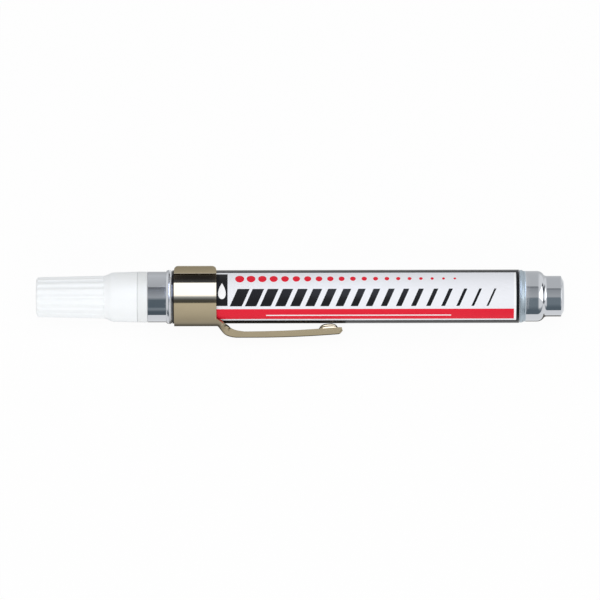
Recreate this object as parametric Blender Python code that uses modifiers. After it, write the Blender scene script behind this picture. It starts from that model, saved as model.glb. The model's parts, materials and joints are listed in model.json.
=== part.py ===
# Valve-action cleaning pen: aluminium barrel with a printed sleeve, a sprung felt tip under a push-on cap
# and a sprung pocket clip. The pen lies on a table, resting on the clip.

import math

import bmesh
import bpy
from mathutils import Matrix, Vector

# Driving dimensions, in metres

SEAT_GAP = 0.0003            # between faces that rest on each other
WELD_DISTANCE = 0.000001
SMOOTH_ANGLE = math.radians(35.0)

# Barrel
BARREL_RADIUS = 0.00672
BARREL_WALL = 0.00045
NECK_LENGTH = 0.0048
BEAD_WIDTH = 0.00174
BEAD_HEIGHT = 0.00046
REAR_RING_WIDTH = 0.0006
REAR_RING_FILLET = 0.0004
REAR_BAND_LENGTH = 0.004
SHOULDER_LENGTH = 0.0026
SHOULDER_ROUNDING = 0.5      # 0 is a straight cone, 1 a full S curve
TAIL_RADIUS = 0.0054
TAIL_LENGTH = 0.0036
TAIL_EDGE_LENGTH = 0.0009
TAIL_FACE_RADIUS = 0.0041
TAIL_FLOOR = 0.0008

# Printed sleeve
LABEL_LENGTH = 0.0917
LABEL_THICKNESS = 0.00016
LABEL_CLEARANCE = 0.00012

# Tip holder
COLLAR_LENGTH = 0.00265
COLLAR_EDGE = 0.00025
PLUG_CLEARANCE = 0.0002
PLUG_TAIL = 0.0022
PLUG_CHAMFER = 0.0004
HOLDER_WALL = 0.00065
SPIGOT_LENGTH = 0.00665
NOSE_STEP = 0.0005
NOSE_CONE_LENGTH = 0.0049
NOSE_SHOULDER = 0.0002
NOSE_LAND_LENGTH = 0.0018
NOSE_WALL = 0.00065
NOSE_EDGE = 0.0003

# Sealing ring between holder and barrel
RING_SECTION = 0.001
RING_CLEARANCE = 0.0002

# Tip and its socket
TIP_TRAVEL = 0.002
NIB_RADIUS = 0.00225
NIB_CLEARANCE = 0.0002
NIB_REACH = 0.0044
NIB_POINT_LENGTH = 0.0022
SOCKET_SEAT_DEPTH = 0.005
SOCKET_LENGTH = 0.004
SOCKET_WALL = 0.00055
SOCKET_FLOOR = 0.001
SOCKET_CLEARANCE = 0.0003
FEED_HOLE_RADIUS = 0.0003
FEED_HOLE_COUNT = 4

# Valve
STOP_MARGIN = 0.0004
VALVE_CLEARANCE = 0.0003
VALVE_WALL = 0.0005
VALVE_FRONT_WALL = 0.001
STEM_PIN_RADIUS = 0.0007
STEM_FLOW_GAP = 0.0005
STEM_GUIDE_LENGTH = 0.003
SEAL_THICKNESS = 0.0006
SEAL_LIP = 0.0002
POPPET_THICKNESS = 0.001
POPPET_FLOW_GAP = 0.0009
SPRING_LENGTH = 0.006
SPRING_RADIUS = 0.0016
SPRING_WIRE = 0.0004
SPRING_TURNS = 6
RETAINER_BOSS = 0.0008
RETAINER_DISC = 0.0008
RETAINER_HOLE_RADIUS = 0.0004
RETAINER_HOLE_COUNT = 6

# Cap
CAP_CLEARANCE = 0.0003
CAP_SKIRT_LENGTH = 0.00615
CAP_SKIRT_WALL = 0.0008
CAP_SKIRT_TAPER = 0.0002
CAP_FLARE_LENGTH = 0.0024
CAP_GRIP_WALL = 0.001
CAP_GRIP_TAPER = 0.00035
CAP_FRONT_WALL = 0.00135
CAP_FRONT_EDGE = 0.0009
CAP_BORE_STEP_LENGTH = 0.0018
FLUTE_COUNT = 18
FLUTE_RADIUS = 0.001
FLUTE_DEPTH = 0.0003
LINER_CLEARANCE = 0.0003
LINER_WALL = 0.00065
LINER_END_WALL = 0.0007
NIB_HEADROOM = 0.0068

# Pocket clip
CLIP_SHEET = 0.0005
CLIP_CLEARANCE = 0.0003
CLIP_SETBACK = 0.0002
BAND_WIDTH = 0.0109
LIP_ANGLE = math.radians(49.0)
LIP_LEAN = math.radians(8.0)
LIP_BEND = 0.0007
LIP_LENGTH = 0.0018
LIP_CORNER = 0.0014
ARM_LENGTH = 0.0336
ARM_WIDTH = 0.0044
ARM_STANDOFF = 0.0033
ARM_FLANGE_DEPTH = 0.0015
ARM_CORNER = 0.0005
ARM_RISE_ANGLE = math.radians(58.0)
ARM_ROOT_LENGTH = 0.00045
ARM_ROOT_BEND = 0.0008
ARM_HEEL_BEND = 0.0032
ARM_STRAIGHT = 0.0042
ARM_BOW_RADIUS = 0.29
ARM_TOE_ANGLE = math.radians(45.0)
ARM_TOE_BEND = 0.0016
ARM_TOE_LENGTH = 0.0006
DIMPLE_SETBACK = 0.0034
DIMPLE_LENGTH = 0.006
DIMPLE_SIDE_GAP = 0.0001

# Faces round a turned or drilled piece, and steps along its curves
OUTER_SIDES = 36
INNER_SIDES = 24
VALVE_SIDES = 20
HOLE_SIDES = 12
FLUTE_SIDES = 20
RING_SIDES = 8
DIMPLE_SIDES = 20
DIMPLE_RINGS = 12
EDGE_STEPS = 4
NIB_STEPS = 6
RIDGE_STEPS = 6
SHOULDER_STEPS = 6
SPRING_STEPS = 10            # in one turn

# Rows and columns of the clip's sheet
BAND_ROWS = 14
LIP_BEND_ROWS = 3
LIP_CORNER_ROWS = 4
ARM_BEND_ROWS = 4
ARM_STRAIGHT_ROWS = 2
ARM_BOW_ROWS = 10
ARM_TOE_ROWS = 4
ARM_COLUMNS = 12

# Stations along the pen's axis: zero is the collar's rear face, the tail lies at plus

mouth = SEAT_GAP
bead_front = mouth + NECK_LENGTH
bead_rear = bead_front + BEAD_WIDTH
label_front = bead_rear + LABEL_CLEARANCE
label_rear = label_front + LABEL_LENGTH
ring_front = label_rear + LABEL_CLEARANCE
ring_rear = ring_front + REAR_RING_WIDTH
shoulder_front = ring_rear + REAR_BAND_LENGTH
shoulder_rear = shoulder_front + SHOULDER_LENGTH
tail_edge = shoulder_rear + TAIL_LENGTH
tail_end = tail_edge + TAIL_EDGE_LENGTH
plug_rear = bead_rear + PLUG_TAIL

spigot_front = -COLLAR_LENGTH - SPIGOT_LENGTH
cone_front = spigot_front - NOSE_CONE_LENGTH
nose_end = cone_front - NOSE_LAND_LENGTH
nib_tip = nose_end - NIB_REACH
socket_seat = -SOCKET_SEAT_DEPTH
socket_front = socket_seat + SEAT_GAP
socket_rear = socket_front + SOCKET_LENGTH
socket_floor = socket_rear - SOCKET_FLOOR
stem_front = socket_rear + SEAT_GAP
valve_step = socket_rear + TIP_TRAVEL + STOP_MARGIN
valve_front = valve_step + SEAT_GAP
seal_front = valve_front + VALVE_FRONT_WALL + SEAT_GAP
seal_rear = seal_front + SEAL_THICKNESS
poppet_front = seal_rear + SEAT_GAP
poppet_rear = poppet_front + POPPET_THICKNESS
spring_front = poppet_rear + SEAT_GAP
spring_rear = spring_front + SPRING_LENGTH
boss_front = spring_rear + SEAT_GAP
disc_front = boss_front + RETAINER_BOSS
valve_rear = disc_front - SEAT_GAP

cap_rim = -COLLAR_LENGTH - SEAT_GAP
flare_rear = cap_rim - CAP_SKIRT_LENGTH
flare_front = flare_rear - CAP_FLARE_LENGTH
liner_floor = nib_tip - NIB_HEADROOM
liner_front = liner_floor - LINER_END_WALL
liner_rim = cone_front - SEAT_GAP
cap_floor = liner_front - SEAT_GAP
cap_front = cap_floor - CAP_FRONT_WALL

band_front = label_front + CLIP_SETBACK
band_rear = band_front + BAND_WIDTH
arm_root = band_rear + SEAT_GAP

# Radii about the pen's axis

barrel_bore = BARREL_RADIUS - BARREL_WALL
label_bore = BARREL_RADIUS + LABEL_CLEARANCE
label_radius = label_bore + LABEL_THICKNESS
plug_radius = barrel_bore - PLUG_CLEARANCE
ring_groove_radius = plug_radius - RING_SECTION - RING_CLEARANCE
valve_bore = ring_groove_radius - HOLDER_WALL
valve_radius = valve_bore - VALVE_CLEARANCE
valve_chamber = valve_radius - VALVE_WALL
valve_hole = STEM_PIN_RADIUS + STEM_FLOW_GAP
seal_radius = valve_chamber - VALVE_CLEARANCE
poppet_radius = valve_chamber - POPPET_FLOW_GAP
nib_bore = NIB_RADIUS + NIB_CLEARANCE
land_radius = nib_bore + NOSE_WALL
socket_radius = nib_bore + SOCKET_WALL
socket_bore = socket_radius + SOCKET_CLEARANCE
cap_rim_radius = BARREL_RADIUS
skirt_radius = cap_rim_radius - CAP_SKIRT_TAPER
skirt_bore = skirt_radius - CAP_SKIRT_WALL
spigot_radius = skirt_bore - CAP_CLEARANCE
liner_bore = land_radius + LINER_CLEARANCE
liner_radius = liner_bore + LINER_WALL
grip_bore = liner_radius + LINER_CLEARANCE
grip_front_radius = grip_bore + CAP_GRIP_WALL
grip_rear_radius = grip_front_radius + CAP_GRIP_TAPER
band_bore = label_radius + CLIP_CLEARANCE
band_middle = band_bore + CLIP_SHEET / 2
band_radius = band_bore + CLIP_SHEET
arm_depth = label_radius + ARM_STANDOFF + CLIP_SHEET / 2


def clear_scene():
    for item in list(bpy.data.objects):
        bpy.data.objects.remove(item, do_unlink=True)


def new_collection(name):
    collection = bpy.data.collections.new(name)
    bpy.context.scene.collection.children.link(collection)
    return collection


clear_scene()
parts = new_collection("lens_cleaning_pen")
cutters = new_collection("cutters")
pen_axis = bpy.data.objects.new("pen_axis", None)
parts.objects.link(pen_axis)


def surface(name, colour, roughness, metallic=0.0):
    material = bpy.data.materials.new(name)
    material.use_nodes = True
    shader = material.node_tree.nodes["Principled BSDF"]
    shader.inputs["Base Color"].default_value = (*colour, 1.0)
    shader.inputs["Roughness"].default_value = roughness
    shader.inputs["Metallic"].default_value = metallic
    return material


polished_aluminium = surface("polished_aluminium", (0.78, 0.79, 0.80), 0.18, 1.0)
label_film = surface("label_film", (0.76, 0.78, 0.85), 0.30)
cap_polythene = surface("cap_polythene", (0.90, 0.92, 0.93), 0.38)
holder_polythene = surface("holder_polythene", (0.88, 0.89, 0.89), 0.42)
valve_polymer = surface("valve_polymer", (0.80, 0.80, 0.78), 0.45)
seal_rubber = surface("seal_rubber", (0.03, 0.03, 0.03), 0.70)
spring_steel = surface("spring_steel", (0.62, 0.62, 0.62), 0.25, 1.0)
tip_felt = surface("tip_felt", (0.86, 0.85, 0.80), 0.95)
plated_steel = surface("plated_steel", (0.40, 0.35, 0.25), 0.25, 1.0)


def add_part(name, data, material):
    part = bpy.data.objects.new(name, data)
    data.materials.append(material)
    parts.objects.link(part)
    part.parent = pen_axis
    return part


def add_cutter(name, data):
    cutter = bpy.data.objects.new(name, data)
    cutters.objects.link(cutter)
    cutter.parent = pen_axis
    cutter.hide_render = True
    cutter.display_type = "WIRE"
    return cutter


# The modifiers' result becomes the part's mesh, smooth with sharp edges
def settle(part):
    bpy.context.view_layer.update()
    evaluated = part.evaluated_get(bpy.context.evaluated_depsgraph_get())
    mesh = bpy.data.meshes.new_from_object(evaluated)
    mesh.name = part.name
    part.modifiers.clear()
    part.data = mesh
    mesh.shade_smooth()
    mesh.set_sharp_from_angle(angle=SMOOTH_ANGLE)


# Outline points are (station, radius) and run down the outer side from tail to cap.
# An open outline starts and ends on the axis, a closed one goes round a bore.
def turned(name, outline, sides, material, closed):
    mesh = bpy.data.meshes.new(name)
    points = [(radius, 0.0, station) for station, radius in outline]
    edges = [(i, i + 1) for i in range(len(points) - 1)]
    if closed:
        edges.append((len(points) - 1, 0))
    mesh.from_pydata(points, edges, [])
    part = add_part(name, mesh, material)
    part.rotation_euler = (0.0, math.pi / 2, 0.0)
    screw = part.modifiers.new("turn", "SCREW")
    screw.steps = sides
    screw.render_steps = sides
    screw.use_merge_vertices = True
    screw.merge_threshold = WELD_DISTANCE
    return part


def cut(part, cutter, operation="DIFFERENCE"):
    boolean = part.modifiers.new(cutter.name, "BOOLEAN")
    boolean.operation = operation
    boolean.object = cutter


# Quarter round from (x0, r0) to (x1, r1), level at the second point
def quarter_round(x0, r0, x1, r1, count):
    angles = [math.pi / 2 * i / count for i in range(count + 1)]
    return [(x0 + (x1 - x0) * (1 - math.cos(a)), r0 + (r1 - r0) * math.sin(a)) for a in angles]


# Half-round ridge of a given height on a cylinder, from x0 to x1
def ridge(x0, x1, radius, height, count):
    angles = [math.pi * i / count for i in range(count + 1)]
    middle = (x0 + x1) / 2
    half = (x0 - x1) / 2
    return [(middle + half * math.cos(a), radius + height * math.sin(a)) for a in angles]


# Shoulder from (x0, r0) to (x1, r1) whose ends are eased into the cylinders beside it
def shoulder(x0, r0, x1, r1, count):
    points = []
    for i in range(count + 1):
        t = i / count
        share = t - SHOULDER_ROUNDING * math.sin(2 * math.pi * t) / (2 * math.pi)
        points.append((x0 + (x1 - x0) * t, r0 + (r1 - r0) * share))
    return points


# Round holes along the axis, evenly spaced on a circle
def drill(part, name, count, circle, radius, x0, x1):
    form = bmesh.new()
    for i in range(count):
        angle = 2 * math.pi * i / count
        place = Vector((circle * math.cos(angle), circle * math.sin(angle), (x0 + x1) / 2))
        bmesh.ops.create_cone(form, cap_ends=True, segments=HOLE_SIDES, radius1=radius, radius2=radius,
                              depth=x1 - x0, matrix=Matrix.Translation(place))
    mesh = bpy.data.meshes.new(name)
    form.to_mesh(mesh)
    form.free()
    cutter = add_cutter(name, mesh)
    cutter.rotation_euler = part.rotation_euler
    cut(part, cutter)


def make_barrel():
    tail_bore = TAIL_RADIUS - BARREL_WALL
    outline = [(tail_end, 0.0)]
    outline += quarter_round(tail_end, TAIL_FACE_RADIUS, tail_edge, TAIL_RADIUS, EDGE_STEPS)
    outline += shoulder(shoulder_rear, TAIL_RADIUS, shoulder_front, BARREL_RADIUS, SHOULDER_STEPS)
    outline += [(ring_rear + REAR_RING_FILLET, BARREL_RADIUS), (ring_rear, label_radius)]
    outline += [(ring_front, label_radius), (ring_front, BARREL_RADIUS)]
    outline += ridge(bead_rear, bead_front, BARREL_RADIUS, BEAD_HEIGHT, RIDGE_STEPS)
    outline += [(mouth, BARREL_RADIUS), (mouth, barrel_bore)]
    outline += ridge(bead_front, bead_rear, barrel_bore, BEAD_HEIGHT, RIDGE_STEPS)
    outline += shoulder(shoulder_front, barrel_bore, shoulder_rear, tail_bore, SHOULDER_STEPS)
    outline += [(tail_end - TAIL_FLOOR, tail_bore - TAIL_EDGE_LENGTH), (tail_end - TAIL_FLOOR, 0.0)]
    settle(turned("barrel", outline, OUTER_SIDES, polished_aluminium, closed=False))


def make_label():
    outline = [(label_rear, label_bore), (label_rear, label_radius)]
    outline += [(label_front, label_radius), (label_front, label_bore)]
    settle(turned("label_sleeve", outline, OUTER_SIDES, label_film, closed=True))


def make_tip_holder():
    groove_middle = mouth + NECK_LENGTH / 2
    groove_half = RING_SECTION / 2 + RING_CLEARANCE
    outline = [(plug_rear, valve_bore), (plug_rear, plug_radius - PLUG_CHAMFER)]
    outline += [(plug_rear - PLUG_CHAMFER, plug_radius)]
    outline += ridge(bead_rear - PLUG_CLEARANCE, bead_front + PLUG_CLEARANCE,
                     plug_radius, BEAD_HEIGHT, RIDGE_STEPS)
    outline += [(groove_middle + groove_half, plug_radius), (groove_middle + groove_half, ring_groove_radius)]
    outline += [(groove_middle - groove_half, ring_groove_radius), (groove_middle - groove_half, plug_radius)]
    outline += [(0.0, plug_radius), (0.0, BARREL_RADIUS - COLLAR_EDGE), (-COLLAR_EDGE, BARREL_RADIUS)]
    outline += [(-COLLAR_LENGTH, BARREL_RADIUS), (-COLLAR_LENGTH, spigot_radius)]
    outline += [(spigot_front, spigot_radius), (spigot_front, spigot_radius - NOSE_STEP)]
    outline += [(cone_front, land_radius + NOSE_SHOULDER), (cone_front, land_radius)]
    outline += [(nose_end + NOSE_EDGE, land_radius), (nose_end, land_radius - NOSE_EDGE)]
    outline += [(nose_end, nib_bore), (socket_seat, nib_bore), (socket_seat, socket_bore)]
    outline += [(valve_step, socket_bore), (valve_step, valve_bore)]
    settle(turned("tip_holder", outline, OUTER_SIDES, holder_polythene, closed=True))


def make_mouth_seal():
    bpy.ops.mesh.primitive_torus_add(
        major_segments=OUTER_SIDES, minor_segments=RING_SIDES,
        major_radius=plug_radius - RING_SECTION / 2, minor_radius=RING_SECTION / 2)
    made = bpy.context.object
    mesh = made.data
    bpy.data.objects.remove(made)
    seal = add_part("mouth_seal", mesh, seal_rubber)
    seal.location = (mouth + NECK_LENGTH / 2, 0.0, 0.0)
    seal.rotation_euler = (0.0, math.pi / 2, 0.0)
    mesh.shade_smooth()


def make_valve():
    outline = [(valve_rear, valve_chamber), (valve_rear, valve_radius), (valve_front, valve_radius)]
    outline += [(valve_front, valve_hole), (valve_front + VALVE_FRONT_WALL, valve_hole)]
    outline += [(valve_front + VALVE_FRONT_WALL, valve_chamber)]
    settle(turned("valve_body", outline, INNER_SIDES, valve_polymer, closed=True))

    seal_hole = valve_hole + SEAL_LIP
    outline = [(seal_rear, seal_hole), (seal_rear, seal_radius)]
    outline += [(seal_front, seal_radius), (seal_front, seal_hole)]
    settle(turned("valve_seal", outline, VALVE_SIDES, seal_rubber, closed=True))

    stem_rear = poppet_rear + STEM_GUIDE_LENGTH
    outline = [(stem_rear, 0.0), (stem_rear, STEM_PIN_RADIUS), (poppet_rear, STEM_PIN_RADIUS)]
    outline += [(poppet_rear, poppet_radius), (poppet_front, poppet_radius)]
    outline += [(poppet_front, STEM_PIN_RADIUS), (stem_front, STEM_PIN_RADIUS), (stem_front, 0.0)]
    settle(turned("valve_stem", outline, VALVE_SIDES, valve_polymer, closed=False))

    disc_rear = disc_front + RETAINER_DISC
    hole_circle = (SPRING_RADIUS + seal_radius) / 2
    outline = [(disc_rear, valve_hole), (disc_rear, valve_radius), (disc_front, valve_radius)]
    outline += [(disc_front, seal_radius), (boss_front, seal_radius), (boss_front, valve_hole)]
    retainer = turned("spring_retainer", outline, INNER_SIDES, valve_polymer, closed=True)
    drill(retainer, "retainer_drill", RETAINER_HOLE_COUNT, hole_circle, RETAINER_HOLE_RADIUS,
          boss_front - RETAINER_BOSS, disc_rear + RETAINER_BOSS)
    settle(retainer)


def make_valve_spring():
    count = SPRING_TURNS * SPRING_STEPS
    first = spring_front + SPRING_WIRE / 2
    pitch = (SPRING_LENGTH - SPRING_WIRE) / SPRING_TURNS
    points = []
    for i in range(count + 1):
        angle = 2 * math.pi * i / SPRING_STEPS
        station = first + pitch * i / SPRING_STEPS
        points.append(Vector((station, SPRING_RADIUS * math.cos(angle), SPRING_RADIUS * math.sin(angle))))
    curve = bpy.data.curves.new("valve_spring", "CURVE")
    curve.dimensions = "3D"
    curve.bevel_depth = SPRING_WIRE / 2
    curve.bevel_resolution = 1
    curve.use_fill_caps = True
    spline = curve.splines.new("POLY")
    spline.points.add(count)
    for point, place in zip(spline.points, points):
        point.co = (*place, 1.0)
    add_part("valve_spring", curve, spring_steel)

    half_turn = SPRING_STEPS // 2
    nearest = min((a - b).length for i, a in enumerate(points) for b in points[i + half_turn:])
    print("valve_spring: least gap between curls", round((nearest - SPRING_WIRE) * 1000, 3), "mm")


def make_nib():
    nib_rear = socket_floor - SEAT_GAP
    outline = [(nib_rear, 0.0), (nib_rear, NIB_RADIUS)]
    point = quarter_round(nib_tip, 0.0, nib_tip + NIB_POINT_LENGTH, NIB_RADIUS, NIB_STEPS)
    outline += list(reversed(point))
    settle(turned("nib", outline, INNER_SIDES, tip_felt, closed=False))

    outline = [(socket_rear, 0.0), (socket_rear, socket_radius), (socket_front, socket_radius)]
    outline += [(socket_front, nib_bore), (socket_floor, nib_bore), (socket_floor, 0.0)]
    socket = turned("nib_socket", outline, INNER_SIDES, valve_polymer, closed=False)
    feed_circle = (STEM_PIN_RADIUS + NIB_RADIUS) / 2
    drill(socket, "socket_drill", FEED_HOLE_COUNT, feed_circle, FEED_HOLE_RADIUS,
          socket_floor - SOCKET_FLOOR, socket_rear + SOCKET_FLOOR)
    settle(socket)


# One round groove along the cap's tapered grip for each flute
def flute_cutter():
    front = Vector((grip_front_radius - FLUTE_DEPTH + FLUTE_RADIUS, 0.0, cap_front))
    rear = Vector((grip_rear_radius - FLUTE_DEPTH + FLUTE_RADIUS, 0.0, flare_front))
    run = rear - front
    start = front - run.normalized() * FLUTE_RADIUS
    tilt = Vector((0.0, 0.0, 1.0)).rotation_difference(run).to_matrix().to_4x4()
    form = bmesh.new()
    for i in range(FLUTE_COUNT):
        turn = Matrix.Rotation(2 * math.pi * (i + 0.5) / FLUTE_COUNT, 4, "Z")
        place = turn @ Matrix.Translation((start + rear) / 2) @ tilt
        bmesh.ops.create_cone(form, cap_ends=True, segments=FLUTE_SIDES, radius1=FLUTE_RADIUS,
                              radius2=FLUTE_RADIUS, depth=(rear - start).length, matrix=place)
    mesh = bpy.data.meshes.new("flute_cutter")
    form.to_mesh(mesh)
    form.free()
    return add_cutter("flute_cutter", mesh)


def make_cap():
    bore_step = flare_front + CAP_BORE_STEP_LENGTH
    outline = [(cap_floor, 0.0), (cap_floor, grip_bore), (flare_front, grip_bore)]
    outline += [(bore_step, skirt_bore), (cap_rim, skirt_bore), (cap_rim, cap_rim_radius)]
    outline += [(flare_rear, skirt_radius)]
    outline += shoulder(flare_rear, skirt_radius, flare_front, grip_rear_radius, SHOULDER_STEPS)[1:]
    outline += list(reversed(quarter_round(cap_front, grip_front_radius - CAP_FRONT_EDGE,
                                           cap_front + CAP_FRONT_EDGE, grip_front_radius, EDGE_STEPS)))
    outline += [(cap_front, 0.0)]
    cap = turned("cap_shell", outline, OUTER_SIDES, cap_polythene, closed=False)
    cutter = flute_cutter()
    cutter.rotation_euler = cap.rotation_euler
    cut(cap, cutter)
    settle(cap)

    outline = [(liner_floor, 0.0), (liner_floor, liner_bore), (liner_rim, liner_bore)]
    outline += [(liner_rim, liner_radius), (liner_front, liner_radius), (liner_front, 0.0)]
    settle(turned("cap_liner", outline, INNER_SIDES, holder_polythene, closed=False))


# A flat grid of rows and columns bent to shape: place gives a point for each row and column
def bent_sheet(name, rows, columns, place, material):
    form = bmesh.new()
    bmesh.ops.create_grid(form, x_segments=rows, y_segments=columns, size=1.0)
    for vert in form.verts:
        row = round((vert.co.x + 1) / 2 * rows)
        column = round((vert.co.y + 1) / 2 * columns)
        vert.co = place(row, column)
    mesh = bpy.data.meshes.new(name)
    form.to_mesh(mesh)
    form.free()
    part = add_part(name, mesh, material)
    solidify = part.modifiers.new("sheet", "SOLIDIFY")
    solidify.thickness = CLIP_SHEET
    solidify.offset = 0.0
    solidify.use_even_offset = True
    return part


# Half of the band's section: (distance along the sheet, sideways, up), from the clip side to a lip
def band_section():
    section = []
    sweep = math.pi / 2 + LIP_ANGLE
    for i in range(BAND_ROWS + 1):
        angle = sweep * i / BAND_ROWS - math.pi / 2
        section.append((band_middle * (angle + math.pi / 2),
                        band_middle * math.cos(angle), band_middle * math.sin(angle)))
    turn = LIP_ANGLE + LIP_LEAN
    centre = (band_middle + LIP_BEND) * Vector((math.cos(LIP_ANGLE), math.sin(LIP_ANGLE)))
    run = section[-1][0]
    for i in range(1, LIP_BEND_ROWS + 1):
        back = LIP_ANGLE - turn * i / LIP_BEND_ROWS + math.pi
        place = centre + LIP_BEND * Vector((math.cos(back), math.sin(back)))
        section.append((run + LIP_BEND * turn * i / LIP_BEND_ROWS, place.x, place.y))
    run, sideways, up = section[-1]
    for i in range(LIP_CORNER_ROWS + 1):
        # closer rows towards the lip's edge, where its corners are rounded
        step = LIP_LENGTH - LIP_CORNER * (1 - math.sin(math.pi / 2 * i / LIP_CORNER_ROWS))
        section.append((run + step, sideways + step * math.sin(LIP_LEAN), up + step * math.cos(LIP_LEAN)))
    return section


def make_clip_band():
    half = band_section()
    last = len(half) - 1
    length = half[last][0]
    middle = (band_front + band_rear) / 2

    def place(row, column):
        run, sideways, up = half[abs(row - last)]
        side = 1.0 if row > last else -1.0
        past = max(0.0, run - (length - LIP_CORNER))
        inset = LIP_CORNER - math.sqrt(max(0.0, LIP_CORNER ** 2 - past ** 2))
        half_width = BAND_WIDTH / 2 - inset
        return (middle + half_width * (2 * column - 1), side * sideways, up)

    settle(bent_sheet("clip_band", 2 * last, 1, place, plated_steel))


# The arm's middle line as (station, depth below the axis, downward heading)
def arm_path():
    path = [(arm_root, band_middle, 0.0)]
    bend_start = arm_root + ARM_ROOT_LENGTH
    for i in range(ARM_BEND_ROWS + 1):
        turn = ARM_RISE_ANGLE * i / ARM_BEND_ROWS
        path.append((bend_start + ARM_ROOT_BEND * math.sin(turn),
                     band_middle + ARM_ROOT_BEND * (1 - math.cos(turn)), turn))
    x, depth, turn = path[-1]
    heel_drop = ARM_HEEL_BEND * (1 - math.cos(ARM_RISE_ANGLE))
    ramp = (arm_depth - heel_drop - depth) / math.tan(ARM_RISE_ANGLE)
    heel_end = x + ramp + ARM_HEEL_BEND * math.sin(ARM_RISE_ANGLE)
    for i in range(ARM_BEND_ROWS + 1):
        turn = ARM_RISE_ANGLE * (1 - i / ARM_BEND_ROWS)
        path.append((heel_end - ARM_HEEL_BEND * math.sin(turn),
                     arm_depth - ARM_HEEL_BEND * (1 - math.cos(turn)), turn))
    for i in range(1, ARM_STRAIGHT_ROWS + 1):
        path.append((heel_end + ARM_STRAIGHT * i / ARM_STRAIGHT_ROWS, arm_depth, 0.0))
    bow_start = heel_end + ARM_STRAIGHT
    toe_run = ARM_TOE_BEND * math.sin(ARM_TOE_ANGLE) + ARM_TOE_LENGTH * math.cos(ARM_TOE_ANGLE)
    bow_run = band_rear + ARM_LENGTH - toe_run - bow_start
    for i in range(1, ARM_BOW_ROWS + 1):
        turn = math.asin(bow_run * i / ARM_BOW_ROWS / ARM_BOW_RADIUS)
        path.append((bow_start + ARM_BOW_RADIUS * math.sin(turn),
                     arm_depth - ARM_BOW_RADIUS * (1 - math.cos(turn)), -turn))
    x, depth, turn = path[-1]
    for i in range(1, ARM_TOE_ROWS):
        curl = ARM_TOE_ANGLE * i / (ARM_TOE_ROWS - 1)
        path.append((x + ARM_TOE_BEND * math.sin(curl), depth - ARM_TOE_BEND * (1 - math.cos(curl)), -curl))
    x, depth, turn = path[-1]
    path.append((x + ARM_TOE_LENGTH * math.cos(turn), depth + ARM_TOE_LENGTH * math.sin(turn), turn))
    return path


# A point of the arm's section at a distance across the flat sheet: (sideways, height towards the barrel)
def channel_section(across):
    side = math.copysign(1.0, across)
    across = abs(across)
    web = (ARM_WIDTH - CLIP_SHEET) / 2 - ARM_CORNER
    if across <= web:
        return (side * across, 0.0)
    corner = (across - web) / ARM_CORNER
    if corner <= math.pi / 2:
        return (side * (web + ARM_CORNER * math.sin(corner)), ARM_CORNER * (1 - math.cos(corner)))
    return (side * (web + ARM_CORNER), ARM_CORNER * (1 + corner - math.pi / 2))


# Half an ellipsoid above the place, and a flat cap of its own height below it
def dimple(part, name, operation, place, size, below):
    form = bmesh.new()
    bmesh.ops.create_uvsphere(form, u_segments=DIMPLE_SIDES, v_segments=DIMPLE_RINGS, radius=1.0)
    for vert in form.verts:
        height = size.z if vert.co.z > 0.0 else below
        vert.co = (vert.co.x * size.x, vert.co.y * size.y, vert.co.z * height)
    mesh = bpy.data.meshes.new(name)
    form.to_mesh(mesh)
    form.free()
    ball = add_cutter(name, mesh)
    ball.location = place
    cut(part, ball, operation)


def make_clip_arm():
    path = arm_path()
    flange = ARM_FLANGE_DEPTH - CLIP_SHEET / 2
    half_sheet = (ARM_WIDTH - CLIP_SHEET) / 2 - 2 * ARM_CORNER + ARM_CORNER * math.pi / 2 + flange
    bend_rows = ARM_BEND_ROWS + 1
    last = len(path) - 1

    def place(row, column):
        x, depth, turn = path[row]
        across = half_sheet * (2 * column / ARM_COLUMNS - 1)
        angle = across / band_middle
        curved = (band_middle * math.sin(angle), band_middle * (1 - math.cos(angle)))
        channel = channel_section(across)
        share = min(1.0, max(0.0, (row - bend_rows) / bend_rows))
        sideways = curved[0] + (channel[0] - curved[0]) * share
        height = curved[1] + (channel[1] - curved[1]) * share
        # the flanges' edges run straight on while the toe's web turns up to meet them
        risen = max(0.0, path[last - ARM_TOE_ROWS][1] - depth) if row > last - ARM_TOE_ROWS else 0.0
        height *= 1.0 - risen / flange
        return (x + height * math.sin(turn) - arm_root, sideways,
                height * math.cos(turn) - depth + band_middle)

    arm = bent_sheet("clip_arm", last, ARM_COLUMNS, place, plated_steel)
    arm.location = (arm_root, 0.0, -band_middle)

    # the dimple near the tip bears on the sleeve: a pressed bump, hollow on its outer side
    dimple_x = band_rear + ARM_LENGTH - DIMPLE_SETBACK
    web_depth = min(path, key=lambda station: abs(station[0] - dimple_x))[1]
    reach = web_depth - label_radius - CLIP_CLEARANCE
    web_half = ARM_WIDTH / 2 - CLIP_SHEET - DIMPLE_SIDE_GAP
    dimple(arm, "dimple_bump", "UNION", Vector((dimple_x, 0.0, -web_depth)),
           Vector((DIMPLE_LENGTH / 2, web_half, reach)), CLIP_SHEET / 4)
    dimple(arm, "dimple_hollow", "DIFFERENCE", Vector((dimple_x, 0.0, -web_depth)),
           Vector((DIMPLE_LENGTH / 2, web_half, reach)) - Vector((CLIP_SHEET, CLIP_SHEET, CLIP_SHEET)),
           CLIP_SHEET * 2)
    settle(arm)


# The pen rolls until the corner of the clip's arm and the clip's band both touch the table
def rest_roll():
    corner_side = (ARM_WIDTH - CLIP_SHEET) / 2 - ARM_CORNER
    corner_depth = arm_depth - ARM_CORNER
    corner_radius = ARM_CORNER + CLIP_SHEET / 2
    lever = math.hypot(corner_side, corner_depth)
    return math.acos((band_radius - corner_radius) / lever) + math.atan2(corner_side, corner_depth)


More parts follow.
